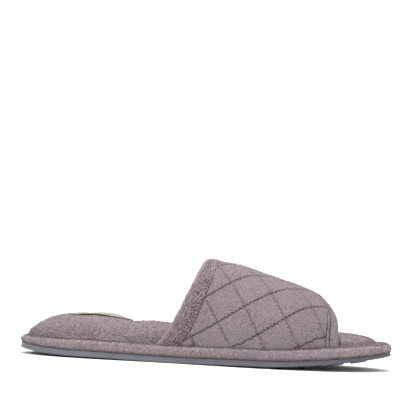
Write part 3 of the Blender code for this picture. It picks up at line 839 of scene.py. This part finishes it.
def arch_tables():
    """y and z of the arch by station and girth share, and the two half girths by station."""
    sides = plan_sides(SEAM_INSET)
    angle = np.linspace(0, math.pi, ARCH_SAMPLES)
    reach = np.abs(np.cos(angle)) ** (2 / ARCH_ROUND)
    rise = np.sin(angle).clip(0) ** (2 / ARCH_ROUND)
    ys, zs, halves = [], [], []
    for x in ARCH_X:
        lateral, medial = (np.interp(x, *side.T) for side in sides)
        ridge_y = lateral + RIDGE_SHARE * (medial - lateral)
        foot, top = seam_height(x), table_curve(RIDGE, 1, x) - PUFF
        y = ridge_y + (np.where(angle <= math.pi / 2, lateral, medial) - ridge_y) * reach
        z = foot + (top - foot) * rise
        y = np.concatenate([[lateral], y, [medial]])
        z = np.concatenate([[foot - TAIL], z, [foot - TAIL]])
        run = np.concatenate([[0], np.cumsum(np.hypot(np.diff(y), np.diff(z)))])
        girth = run[1 + len(angle) // 2] - run
        half = girth[1], -girth[-2]
        share = np.where(girth >= 0, girth / half[0], girth / half[1])
        ys.append(np.interp(-SHARES, -share, y))
        zs.append(np.interp(-SHARES, -share, z))
        halves.append(half)
    return np.array(ys), np.array(zs), np.array(halves)


ARCH_Y, ARCH_Z, HALF_GIRTHS = arch_tables()


def arch_point(x, share):
    """Points on the arch: x along the shoe, share from 1 at the lateral seam to -1 at the medial one."""
    i = ((x - ARCH_X[0]) / ARCH_STEP).clip(0, len(ARCH_X) - 1.001)
    j = ((share + SHARE_END) / SHARE_STEP).clip(0, len(SHARES) - 1.001)
    low_i, low_j = i.astype(int), j.astype(int)
    i, j = i - low_i, j - low_j
    place = [x]
    for table in (ARCH_Y, ARCH_Z):
        near = table[low_i, low_j] * (1 - j) + table[low_i, low_j + 1] * j
        far = table[low_i + 1, low_j] * (1 - j) + table[low_i + 1, low_j + 1] * j
        place.append(near * (1 - i) + far * i)
    return np.stack(place, axis=-1)


def arch_normal(x, share):
    along = arch_point(x + NORMAL_RUN, share) - arch_point(x - NORMAL_RUN, share)
    around = arch_point(x, share - NORMAL_TURN) - arch_point(x, share + NORMAL_TURN)
    return unit(np.cross(along, around))


def shell_point(x, share, offset):
    """Points at the given distance outside the arch."""
    return arch_point(x, share) + np.asarray(offset)[..., None] * arch_normal(x, share)


def narrowed(shift, share, left):
    """A shift across a binding, of which only the given part is left at the ridge."""
    return shift * (1 - (1 - left) * (1 - share**2).clip(0) ** NARROW_CURVE)


def collar_x(shift, share, offset):
    """x on the arch whose offset points lie on the collar's cut, moved forward across its binding."""
    shift = narrowed(shift, share, COLLAR_NARROW)

    def miss(x):
        point = shell_point(x, share, offset)
        beyond = point - COLLAR_FOOT
        plane = COLLAR_FOOT[0] + beyond[..., 2] * math.tan(COLLAR_LEAN) + beyond[..., 1] * COLLAR_TURN
        flare = COLLAR_FLARE * (1 - beyond[..., 2] / FLARE_HEIGHT).clip(0) ** 2
        return plane - flare + shift - point[..., 0]

    x = np.full(np.shape(share), COLLAR_FOOT[0]) + shift
    for _ in range(SOLVE_PASSES):
        x = x - miss(x) * SOLVE_STEP / (miss(x + SOLVE_STEP) - miss(x))
    return x


def toe_x(shift, share, offset):
    """x on the arch along the scooped toe edge, moved across its binding."""
    scoop = TOE_SCOOP * (1 - share**2).clip(0) ** TOE_SCOOP_CURVE
    return TOE_EDGE_X - scoop + narrowed(shift, share, TOE_NARROW)


def hem_pull(x, girth):
    """How far the sewn lines are pulled down the sides towards the hem."""
    return HEM_PULL * ramp(x, PULL_FROM, PULL_RUN) ** 2 * girth / np.hypot(girth, RIDGE_BLEND)


def quilt_half(x):
    """Half the girth of the arch, as the quilting counts it."""
    return QUILT_HALF - (x - QUILT_HALF_X) * math.tan(QUILT_SLOPE)


def from_ridge(girth):
    """Girth away from the ridge, over which the two halves of the quilting blend."""
    return np.sqrt(girth**2 + RIDGE_BLEND**2) - RIDGE_BLEND


def quilt_place(x, share):
    """Where points of the arch lie in the quilting, counted in squares along its two directions."""
    pulled = share * quilt_half(x)
    girth = pulled
    for _ in range(PULL_PASSES):
        girth = pulled - hem_pull(x, girth)
    across = girth * math.cos(QUILT_SLOPE)
    forward = (x - QUILT_ORIGIN_X) / math.cos(QUILT_SLOPE) + from_ridge(girth) * math.sin(QUILT_SLOPE)
    return (forward + across) / QUILT_STEP, (forward - across) / QUILT_STEP


def wall_grid(around, along, offset):
    """A grid of x and girth shares over the quilted wall, at the given distance from the arch."""
    share = np.broadcast_to(np.linspace(1, -1, around + 1)[:, None], (around + 1, along + 1))
    rear = collar_x(COLLAR_RUN, share[:, :1], np.full((around + 1, 1), offset)) + GAP
    front = toe_x(-TOE_WIDTH, share[:, :1], offset) - GAP
    return rear + (front - rear) * np.linspace(0, 1, along + 1), share


def quilt_fullness(a, b):
    """Height of the padding: 1 in the middle of a square, down to 0 along its sewn sides."""
    full = np.ones_like(a)
    for across, along, (sharpness, depth) in ((a, b, STRONG_LINE), (b, a, FAINT_LINE)):
        # the line pinches at each needle hole and opens a little between them
        pinch = 1 + HOLE_PINCH * np.sin(2 * math.pi * along * CELL / STITCH)
        on_line = np.abs(2 * (across % 1) - 1) * pinch
        full = full * (1 - depth * on_line.clip(0, 1) ** sharpness)
    return full


def sewn_lines(tree, place, share):
    """Painted shade along the quilting, where the pile is caught down into the furrows: ragged dark lines,
    distinct one way and faint the other.
    """
    ragged = add_node(tree, "TexNoise", {"Scale": 1 / (SEWN_RAGGED * MM), "Detail": 1.0}, {"Vector": place})
    from_nearest = {"operation": "WRAP", 1: 0.5, 2: -0.5}
    for lines, run, half_width, left in SEWN_LINES:
        across = add_node(tree, "Attribute", {"attribute_name": lines}, output="Fac")
        along = add_node(tree, "Attribute", {"attribute_name": run}, output="Fac")
        off_line = add_node(tree, "Math", from_nearest, {0: across})
        # each stitch slants across the line
        count = add_node(tree, "Math", {"operation": "MULTIPLY", 1: CELL / STITCH}, {0: along})
        within = add_node(tree, "Math", from_nearest, {0: count})
        slant = {"operation": "MULTIPLY_ADD", 1: -SEWN_SLANT / CELL}
        slanted = add_node(tree, "Math", slant, {0: within, 2: off_line})
        near = add_node(tree, "Math", {"operation": "ABSOLUTE"}, {0: slanted})
        jitter = {"operation": "MULTIPLY_ADD", 1: SEWN_JITTER / CELL}
        shifted = add_node(tree, "Math", jitter, {0: ragged, 2: near})
        # the line is wider at each needle hole
        turns = {"operation": "MULTIPLY", 1: 2 * math.pi * CELL / STITCH}
        phase = add_node(tree, "Math", turns, {0: along})
        wave = add_node(tree, "Math", {"operation": "SINE"}, {0: phase})
        pinch = {"operation": "MULTIPLY_ADD", 1: SEWN_PINCH / CELL}
        pinched = add_node(tree, "Math", pinch, {0: wave, 2: shifted})
        core, edge = ((SEWN_JITTER / 2 + reach) / CELL for reach in (half_width / 3, half_width))
        rise = {"From Min": core, "From Max": edge, "To Min": left}
        standing = add_node(tree, "MapRange", rise, {"Value": pinched})
        share = add_node(tree, "Math", {"operation": "MULTIPLY"}, {0: share, 1: standing})
    return share


def quilted_upper():
    x, share = wall_grid(UPPER_AROUND, UPPER_ALONG, 0.0)
    nap = pile_relief(x.shape, UPPER_SEED)
    rising, falling = quilt_place(x, share)
    ground = arch_point(x, share)
    above_seam = (1 - np.abs(share)) * np.interp(x, ARCH_X, HALF_GIRTHS.mean(axis=1))
    # the sewn lines pucker where they run down into the sole seam
    pucker = PUCKER * unevenness(ground, PUCKER_SIZE, UPPER_SEED + 3) * np.exp(-above_seam / PUCKER_REACH)
    rising, falling = rising + pucker, falling + pucker
    # and the loops beside them are caught in unevenly
    caught = UPPER_CAUGHT * (nap - 0.5)
    full = quilt_fullness(rising + caught, falling + caught)
    taper = TAPER_LEFT + (1 - TAPER_LEFT) * ramp(above_seam, 0, SEAM_TAPER) ** 0.5
    gather = np.zeros_like(x)
    for place, length, depth in GATHERS:
        gather += depth * (1 - ramp(above_seam, 0, length)) * hump(x, place, GATHER_WIDTH) * (share > 0)
    # painted light: along the seam with the sole the pile is made paler in patches, against the seam's
    # shade
    patches = unevenness(ground, SEAM_PATCHES, UPPER_SEED + 2).clip(-1, 1)
    seam_light = SEAM_LIGHT_PATCHES * patches + table_line(SEAM_LIGHT_BY_X, x)
    # painted shade: the pile is darker in the furrows of the quilting and in the creases of the gathers
    pile = nap_shade(nap) * (FURROW_SHADE + (1 - FURROW_SHADE) * full) * (1 - gather).clip(GATHER_LEFT, 1)
    pile += (1 - ramp(above_seam, 0, SEAM_TAPER)) * seam_light
    # the tone along the upper is painted light and shade
    pile = (pile * table_line(UPPER_LIGHT_TONE, x)).clip(LEAST_TONE, 1)
    swell = UPPER_UNEVEN * unevenness(ground, UPPER_BUMPS, UPPER_SEED)
    outer = shell_point(x, share, full * (PUFF * taper + UPPER_PILE * nap + swell) - gather)
    normals = arch_normal(x, share)
    lining_x, lining_share = wall_grid(LINING_AROUND, LINING_ALONG, PUFF - WALL)
    lining_nap = pile_relief(lining_x.shape, UPPER_SEED + 1)
    inner = shell_point(lining_x, lining_share, PUFF - WALL - LINING_PILE * lining_nap)
    rows, columns = x.shape
    inner_rows, inner_columns = lining_x.shape
    first = rows * columns
    outer_index = np.arange(first).reshape(rows, columns)
    inner_index = first + np.arange(inner_rows * inner_columns).reshape(inner_rows, inner_columns)
    quads = [grid_faces(rows, columns), first + grid_faces(inner_rows, inner_columns)]
    edges = ((outer_index[0], inner_index[0]), (outer_index[-1], inner_index[-1]))
    edges += ((outer_index[:, 0], inner_index[:, 0]), (outer_index[:, -1], inner_index[:, -1]))
    for fine, coarse in edges:
        # each fine edge point is joined to the nearest coarse one
        partner = coarse[np.round(np.linspace(0, len(coarse) - 1, len(fine))).astype(int)]
        quads.append(np.column_stack([fine[:-1], fine[1:], partner[1:], partner[:-1]]))
    points = np.vstack([outer.reshape(-1, 3), inner.reshape(-1, 3)])
    weight = full.clip(0, 1) ** FURROW_BARE
    fuzz = tufts(outer, normals, pile, weight, UPPER_TUFTS, FINE_LONG, FINE_WIDE, TUFT_LEAN, UPPER_SEED)
    look = UPPER_TIP, UPPER_ROOT, UPPER_LOOP, UPPER_SPECKLE, TERRY_SHEEN
    material = terry_cloth("sheared terry, quilted", *look, sewn_lines)
    heights = np.concatenate([pile.ravel(), nap_shade(lining_nap).ravel()])
    lining_rising, lining_falling = quilt_place(lining_x, lining_share)
    quilting = {
        "quilt_rising": np.concatenate([rising.ravel(), lining_rising.ravel()]),
        "quilt_falling": np.concatenate([falling.ravel(), lining_falling.ravel()]),
    }
    return add_terry_piece("upper", points, np.vstack(quads), heights, fuzz, material, quilting)


piece = quilted_upper()
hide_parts("upper")


# Collar binding
# A wide strip of longer-piled terry folded over the rear edge of the upper and sewn down, so it reads
# darker and fluffier than the rest, with pale pile along its fold as a painted highlight.

FOLD_PROFILE = (
    # along, side (1 outer, -1 inner), height share
    (0.05, 1, 0.55),
    (0.0, -1, 0.25),
    (0.05, -1, 0.78),
    (0.22, -1, 1.0),
    (0.60, -1, 1.0),
    (1.0, -1, 0.85),
)
BINDING_PROFILE = (
    # the same from the sewn edge to the fold
    (1.0, 1, 0.35),
    (0.97, 1, 0.72),
    (0.90, 1, 0.92),
    (0.55, 1, 1.0),
    (0.22, 1, 0.95),
) + FOLD_PROFILE
COLLAR_OUT, COLLAR_IN = 1.8, 3.6
COLLAR_AROUND, COLLAR_ACROSS = 280, 64
COLLAR_PILE, COLLAR_SEED = 0.6, 53
COLLAR_UNEVEN, COLLAR_BUMPS = 0.15, 7.0
COLLAR_TUFTS, FLUFF_LEAN, FLUFF_FEET = 34000, 0.7, 0.8
COLLAR_LONG, LOOPS_SHORTER, FRINGE_LONGER = 0.8, 0.3, 0.5
LEAST_DENSE, FRINGE_DENSER = 0.4, 2.0
LOOP_ZONE, LOOP_RUN, FRINGE_ZONE = 6.6, 2.0, 2.6
EDGE_SEWN, EDGE_RUN, EDGE_WAVER, EDGE_WAVES = 1.4, 0.6, 0.6, 5.0
EDGE_DARK, EDGE_LOOPS, EDGE_SUNK = 0.6, 0.6, 0.2
COLLAR_TONE, CURL_TONES, BRUSH_TONES = 0.42, 0.3, 0.15
STREAK_TONES, STREAK_SIZE, STREAK_STRETCH = 0.05, 2.0, (1.0, 0.35, 0.35)
FRINGE_HIGHLIGHT, CREST_LIGHT, GAP_TONE = 0.7, 0.1, 0.15
COLLAR_PARTED = 0.36
CREST_FROM, CREST_RUN = 56.0, 10.0
COLLAR_LIGHT_TONE = (
    # height, painted shade on the pile: darker low down, near the footbed
    (14.0, 0.8),
    (34.0, 1.0),
)
COLLAR_TIP, COLLAR_ROOT = "#C0AEB1", "#4A353A"
COLLAR_SPECKLE, COLLAR_SHEEN = 0.3, 0.45


def binding_grid(profile_table, edge_x, run, out, into, around, across):
    """A grid over a rolled strip along an edge of the arch, and how far each column is from its fold.

    Rows run along the edge and columns round the roll, from the outer sewn edge over the fold."""
    depth = {1: out, -1: -into}
    profile = [(along * abs(run), height * depth[side]) for along, side, height in profile_table]
    profile = even_curve(np.array(profile + profile[:1]), across)[:-1]
    share = np.linspace(1, -1, around + 1)
    columns = []
    for along, offset in profile:
        offsets = np.full(share.shape, offset)
        x = edge_x(math.copysign(along, run), share, offsets)
        columns.append(shell_point(x, share, offsets))
    outer = np.arange(across) < np.argmin(profile[:, 0])
    return np.stack(columns, axis=1), profile[:, 0], outer


def strip_normals(grid):
    """Unit normals of a rolled strip, turned outwards."""
    normals = grid_normals(grid)
    outward = ((grid - grid.mean(axis=1, keepdims=True)) * normals).sum(axis=-1)
    return normals * np.sign(outward.mean())


def strip_faces(grid):
    """Quads round a rolled strip and across its two ends."""
    rows, size = grid.shape[:2]
    i = np.arange(size // 2 - 1)
    end = np.stack([i, i + 1, size - 2 - i, size - 1 - i], axis=-1)
    return np.vstack([grid_faces(rows, size, closed=True), end, end + (rows - 1) * size])


def collar_binding():
    grid, from_fold, outer = binding_grid(
        BINDING_PROFILE, collar_x, COLLAR_RUN, COLLAR_OUT, COLLAR_IN, COLLAR_AROUND, COLLAR_ACROSS
    )
    normals = strip_normals(grid)
    # combed pile in short streaks, pale tips on the fold as a painted highlight, curled loops and parted
    # pile along the sewn edge
    nap = pile_relief(grid.shape[:2], COLLAR_SEED)
    loops = ramp(from_fold, LOOP_ZONE, LOOP_RUN) * outer
    fringe = 1 - ramp(from_fold, 0, FRINGE_ZONE)
    edge = COLLAR_RUN - EDGE_SEWN - EDGE_WAVER * unevenness(grid, EDGE_WAVES, COLLAR_SEED + 2)
    sewn = ramp(from_fold, edge, EDGE_RUN) * outer
    # painted light: the crest of the collar is made paler, as lit from above
    crest = ramp(grid[..., 2], CREST_FROM, CREST_RUN)
    dark = parted_marks(nap.shape, COLLAR_PARTED * loops * (1 - crest), COLLAR_SEED + 3)
    curls = COLLAR_TONE + CURL_TONES * (nap - 0.5)
    streaks = STREAK_TONES * unevenness(grid * STREAK_STRETCH, STREAK_SIZE, COLLAR_SEED + 1)
    streaks += BRUSH_TONES * (nap - 0.5) + COLLAR_TONE
    pile = loops * curls + (1 - loops) * (streaks + FRINGE_HIGHLIGHT * fringe) + CREST_LIGHT * crest
    pile *= np.where(dark, GAP_TONE, 1.0) * (1 - EDGE_DARK * sewn * (nap > EDGE_LOOPS))
    # painted shade darkens the lower part of the collar
    pile = (pile * table_line(COLLAR_LIGHT_TONE, grid[..., 2])).clip(0, 1)
    swell = COLLAR_UNEVEN * unevenness(grid, COLLAR_BUMPS, COLLAR_SEED)
    relief = COLLAR_PILE * nap * ~dark + swell - EDGE_SUNK * sewn
    shaped = grid + normals * relief[..., None]
    length = COLLAR_LONG - LOOPS_SHORTER * loops + FRINGE_LONGER * fringe
    weight = LEAST_DENSE + pile + FRINGE_DENSER * fringe
    size = length, TUFT_WIDE, FLUFF_LEAN
    fuzz = tufts(shaped, normals, pile, weight, COLLAR_TUFTS, *size, COLLAR_SEED, FLUFF_FEET)
    look = COLLAR_TIP, COLLAR_ROOT, TERRY_LOOP, COLLAR_SPECKLE, COLLAR_SHEEN
    material = terry_cloth("long-piled terry, collar", *look)
    return add_terry_piece("collar_binding", shaped.reshape(-1, 3), strip_faces(grid), pile, fuzz, material)


piece = collar_binding()
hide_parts("collar_binding")


# Toe binding
# The front edge of the upper: the outer terry turned over the edge into a firm round hem and sewn
# through twice behind the roll.

TOE_PROFILE = (
    # along, side, height share from the sewn edge to the fold
    (1.0, 1, 0.1),
    (0.95, 1, 0.75),
    (0.88, 1, 0.95),
    (0.78, 1, 0.85),
    (0.71, 1, 0.05),
    (0.64, 1, 0.85),
    (0.50, 1, 1.12),
    (0.22, 1, 1.0),
) + FOLD_PROFILE
TOE_OUT, TOE_IN = 1.3, 3.1
TOE_AROUND, TOE_ACROSS = 260, 64
TOE_PILE, TOE_SEED = 0.4, 71
TOE_UNEVEN, TOE_BUMPS = 0.12, 6.0
TOE_TUFTS, HEM_TUFTED = 9000, 1.01
HEM_ROW, HEM_ROW_HALF, HEM_EDGE = 0.71 * TOE_WIDTH, 0.6, 0.5
HEM_GROOVE_SHADE, HEM_PARTED, HEM_LIGHT_TONE = 0.9, 0.12, 1.12
HEM_TOP, HEM_FADE = 48.0, 6.0


def toe_binding():
    grid, from_fold, outer = binding_grid(
        TOE_PROFILE, toe_x, -TOE_WIDTH, TOE_OUT, TOE_IN, TOE_AROUND, TOE_ACROSS
    )
    normals = strip_normals(grid)
    # painted shade in the hem's sewn row and along its sewn edge
    groove = hump(from_fold, HEM_ROW, HEM_ROW_HALF) + (from_fold > TOE_WIDTH - HEM_EDGE)
    # over the ridge the hem is pulled tight and its seams close
    groove = groove.clip(0, 1) * outer * (1 - ramp(grid[..., 2], HEM_TOP - HEM_FADE, HEM_FADE))
    nap = pile_relief(grid.shape[:2], TOE_SEED)
    parted = parted_marks(nap.shape, HEM_PARTED, TOE_SEED + 1)
    # painted light: the hem's pile is made paler overall
    pile = HEM_LIGHT_TONE * nap_shade(nap) * (1 - HEM_GROOVE_SHADE * groove)
    pile = (pile * np.where(parted, PARTED_TONE, 1.0)).clip(0, 1)
    relief = TOE_PILE * nap * ~parted + TOE_UNEVEN * unevenness(grid, TOE_BUMPS, TOE_SEED)
    shaped = grid + normals * relief[..., None]
    weight = (HEM_TUFTED - groove) * (1 - PARTED_BARE * parted)
    fuzz = tufts(shaped, normals, pile, weight, TOE_TUFTS, FINE_LONG, FINE_WIDE, TUFT_LEAN, TOE_SEED)
    look = UPPER_TIP, UPPER_ROOT, UPPER_LOOP, UPPER_SPECKLE, TERRY_SHEEN
    material = terry_cloth("sheared terry, hem", *look)
    return add_terry_piece("toe_binding", shaped.reshape(-1, 3), strip_faces(grid), pile, fuzz, material)


piece = toe_binding()
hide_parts("toe_binding")


# Sewing
# Lockstitch in matching polyester thread: the two sets of quilting lines across the upper, sunk in
# their furrows, and the two rows behind the roll of the hem.

THREAD_RADIUS, THREAD_SIDES, STITCH_SHARE = 0.22, 5, 0.68
THREAD_HIGHLIGHT, THREAD_SHADED = "#6A5C60", "#3A2F33"
STITCH_ARC = (
    # share along the stitch, rise and thickness in thread radii, share of the painted highlight colour
    (0.0, -0.5, 0.05, 0.0),
    (0.2, 0.0, 1.0, 0.7),
    (0.5, 0.2, 1.1, 1.0),
    (0.8, 0.0, 1.0, 0.7),
    (1.0, -0.5, 0.05, 0.0),
)
QUILT_REACH, QUILT_CLEAR, QUILT_LOWEST, QUILT_LIFT = 9, 1.2, 0.975, 0.1
HEM_ENDS, HEM_BEHIND, HEM_LIFT = (-0.97, 0.95), 0.15, 0.25


def quilt_to_arch(a, b):
    """x and girth share of points of the quilting."""
    forward, across = QUILT_STEP * (a + b) / 2, QUILT_STEP * (a - b) / 2
    girth = across / math.cos(QUILT_SLOPE)
    x = QUILT_ORIGIN_X + (forward - from_ridge(girth) * math.sin(QUILT_SLOPE)) * math.cos(QUILT_SLOPE)
    return x, (girth + hem_pull(x, girth)) / quilt_half(x)


def quilt_stitches():
    """Starts and ends of the stitches along the quilting lines, as x and girth share."""
    found = []
    middle = np.arange(-QUILT_REACH * CELL // STITCH, QUILT_REACH * CELL // STITCH) * STITCH / CELL
    half = STITCH_SHARE * STITCH / CELL / 2
    first, last = middle - half, middle + half
    slant = STITCH_SHARE * SEWN_SLANT / CELL / 2
    for line in range(-QUILT_REACH, QUILT_REACH):
        low, high = np.full(len(middle), line - slant), np.full(len(middle), line + slant)
        for pair in (((low, first), (high, last)), ((first, low), (last, high))):
            (x0, s0), (x1, s1) = (quilt_to_arch(*place) for place in pair)
            share, x = (s0 + s1) / 2, (x0 + x1) / 2
            rear = collar_x(COLLAR_RUN, share.clip(-1, 1), np.zeros(len(x))) + QUILT_CLEAR
            front = toe_x(-TOE_WIDTH, share.clip(-1, 1), 0.0) - QUILT_CLEAR
            kept = (np.abs(share) < QUILT_LOWEST) & (x > rear) & (x < front)
            found.append(np.column_stack([x0, s0, x1, s1])[kept])
    return np.vstack(found)


def hem_stitches():
    """Starts and ends of the stitches of the hem's two rows."""
    found = []
    girth = 2 * np.interp(TOE_EDGE_X, ARCH_X, HALF_GIRTHS.mean(axis=1))
    first = np.arange(*HEM_ENDS, 2 * STITCH / girth)
    last = first + STITCH_SHARE * 2 * STITCH / girth
    for back in (HEM_ROW, TOE_WIDTH + HEM_BEHIND):
        found.append(np.column_stack([toe_x(-back, first, 0.0), first, toe_x(-back, last, 0.0), last]))
    return np.vstack(found)


def stitches(name, rows, lift):
    """One piece of stitches: each a short thread that rises from its needle hole and dives at the next."""
    start, end = (arch_point(rows[:, k], rows[:, k + 1]) for k in (0, 2))
    normal = arch_normal((rows[:, 0] + rows[:, 2]) / 2, (rows[:, 1] + rows[:, 3]) / 2)
    side = np.cross(normal, unit(end - start))
    angles = np.linspace(0, 2 * math.pi, THREAD_SIDES, endpoint=False)
    rings = []
    for share, up, radius, _ in STITCH_ARC:
        centre = start + share * (end - start) + (lift + THREAD_RADIUS * up) * normal
        for angle in angles:
            outward = math.cos(angle) * side + math.sin(angle) * normal
            rings.append(centre + THREAD_RADIUS * radius * outward)
    points = np.stack(rings, axis=1)
    count, size = points.shape[:2]
    tube = grid_faces(size // THREAD_SIDES, THREAD_SIDES, closed=True)
    caps = np.stack([np.arange(THREAD_SIDES), size - 1 - np.arange(THREAD_SIDES)])
    offsets = (size * np.arange(count))[:, None, None]
    faces = [(part[None] + offsets).reshape(-1, part.shape[1]) for part in (tube, caps)]
    # painted highlight on the crown of each stitch, painted shade where it dives
    crown = np.tile(np.repeat([row[3] for row in STITCH_ARC], THREAD_SIDES), count)
    thread = polyester_thread("spun polyester thread", THREAD_SHADED, THREAD_HIGHLIGHT, 0.7, 0.25)
    return add_piece(name, points.reshape(-1, 3), faces, thread, {"pile": crown})


piece = stitches("quilting_thread", quilt_stitches(), QUILT_LIFT)
piece = stitches("hem_thread", hem_stitches(), HEM_LIFT)


# Studio
# A white sweep of paper under and behind the shoe, a large softbox overhead and in front, and white
# walls all round, as for a catalogue picture.

FLOOR_SIZE = 6.0
PAPER, PAPER_TOOTH = "#F4F4F4", 2.0
KEY_SIZE, KEY_POWER = 1.4, 29.0
KEY_PLACE = Vector((0.0, -0.3, 1.7))
WALLS = 1.1


def sweep_paper():
    """Matt white background paper: even, with only a trace of tooth."""
    material, tree, surface = new_material("matt background paper")
    place = add_node(tree, "TexCoord", output="Object")
    tooth = add_node(tree, "TexNoise", {"Scale": 1 / (PAPER_TOOTH * MM), "Detail": 2.0}, {"Vector": place})
    bump = add_node(tree, "Bump", {"Strength": 0.05}, {"Height": tooth})
    matt = {"Base Color": linear(PAPER), "Roughness": 0.9, "Specular IOR Level": 0.1}
    shader = add_node(tree, "BsdfPrincipled", matt, {"Normal": bump})
    tree.links.new(shader, surface)
    return material


corner = FLOOR_SIZE / 2
mesh = bpy.data.meshes.new("floor")
mesh.from_pydata(
    [(-corner, -corner, 0), (corner, -corner, 0), (corner, corner, 0), (-corner, corner, 0)],
    [],
    [(0, 1, 2, 3)],
)
mesh.materials.append(sweep_paper())
floor = bpy.data.objects.new("floor", mesh)
bpy.context.scene.collection.objects.link(floor)

light = bpy.data.lights.new("softbox", "AREA")
light.shape = "DISK"
light.size = KEY_SIZE
light.energy = KEY_POWER
softbox = bpy.data.objects.new("softbox", light)
softbox.location = KEY_PLACE
softbox.rotation_euler = (-KEY_PLACE).to_track_quat("-Z", "Y").to_euler()
bpy.context.scene.collection.objects.link(softbox)

world = bpy.data.worlds.new("white studio walls")
world.use_nodes = True
world.node_tree.nodes["Background"].inputs["Color"].default_value = (1.0, 1.0, 1.0, 1.0)
world.node_tree.nodes["Background"].inputs["Strength"].default_value = WALLS
bpy.context.scene.world = world
bpy.context.scene.view_settings.view_transform = "Standard"


# Camera
# It looks square at the lateral side from a little above the floor, through a long lens, and is rolled
# so that the heel stands higher in the picture than the ball.

IMAGE_SIZE = 416
SHOE_LONG = 370.5
BALL_POINT, BALL_PIXEL = (167.8, -48.0, 1.0), (260.0, 367.5)
CAMERA_AWAY = 3500.0
SEEN_FROM, CAMERA_ROLL = math.radians(3.5), math.radians(3.0)
SENSOR = 36.0

pixel = LENGTH / SHOE_LONG
ball_pixel = pixel * CAMERA_AWAY / (CAMERA_AWAY - BALL_POINT[1])
right_of_middle = (BALL_PIXEL[0] - IMAGE_SIZE / 2) * ball_pixel
below_middle = (BALL_PIXEL[1] - IMAGE_SIZE / 2) * ball_pixel
tilt = SEEN_FROM - math.atan2(below_middle, CAMERA_AWAY)
turn = Matrix.Rotation(math.pi / 2 - tilt, 4, "X") @ Matrix.Rotation(CAMERA_ROLL, 4, "Z")
right, up, back = (Vector(turn.col[k][:3]) for k in range(3))
ball = Vector(BALL_POINT) - Vector((CENTRE[0], CENTRE[1], 0.0))
lens = bpy.data.cameras.new("camera")
lens.sensor_width = SENSOR
lens.lens = SENSOR * CAMERA_AWAY / (IMAGE_SIZE * ball_pixel)
lens.clip_end = 100.0
camera = bpy.data.objects.new("camera", lens)
camera.matrix_world = turn
camera.location = (ball - right * right_of_middle + up * below_middle + back * CAMERA_AWAY) * MM
bpy.context.scene.collection.objects.link(camera)
bpy.context.scene.camera = camera
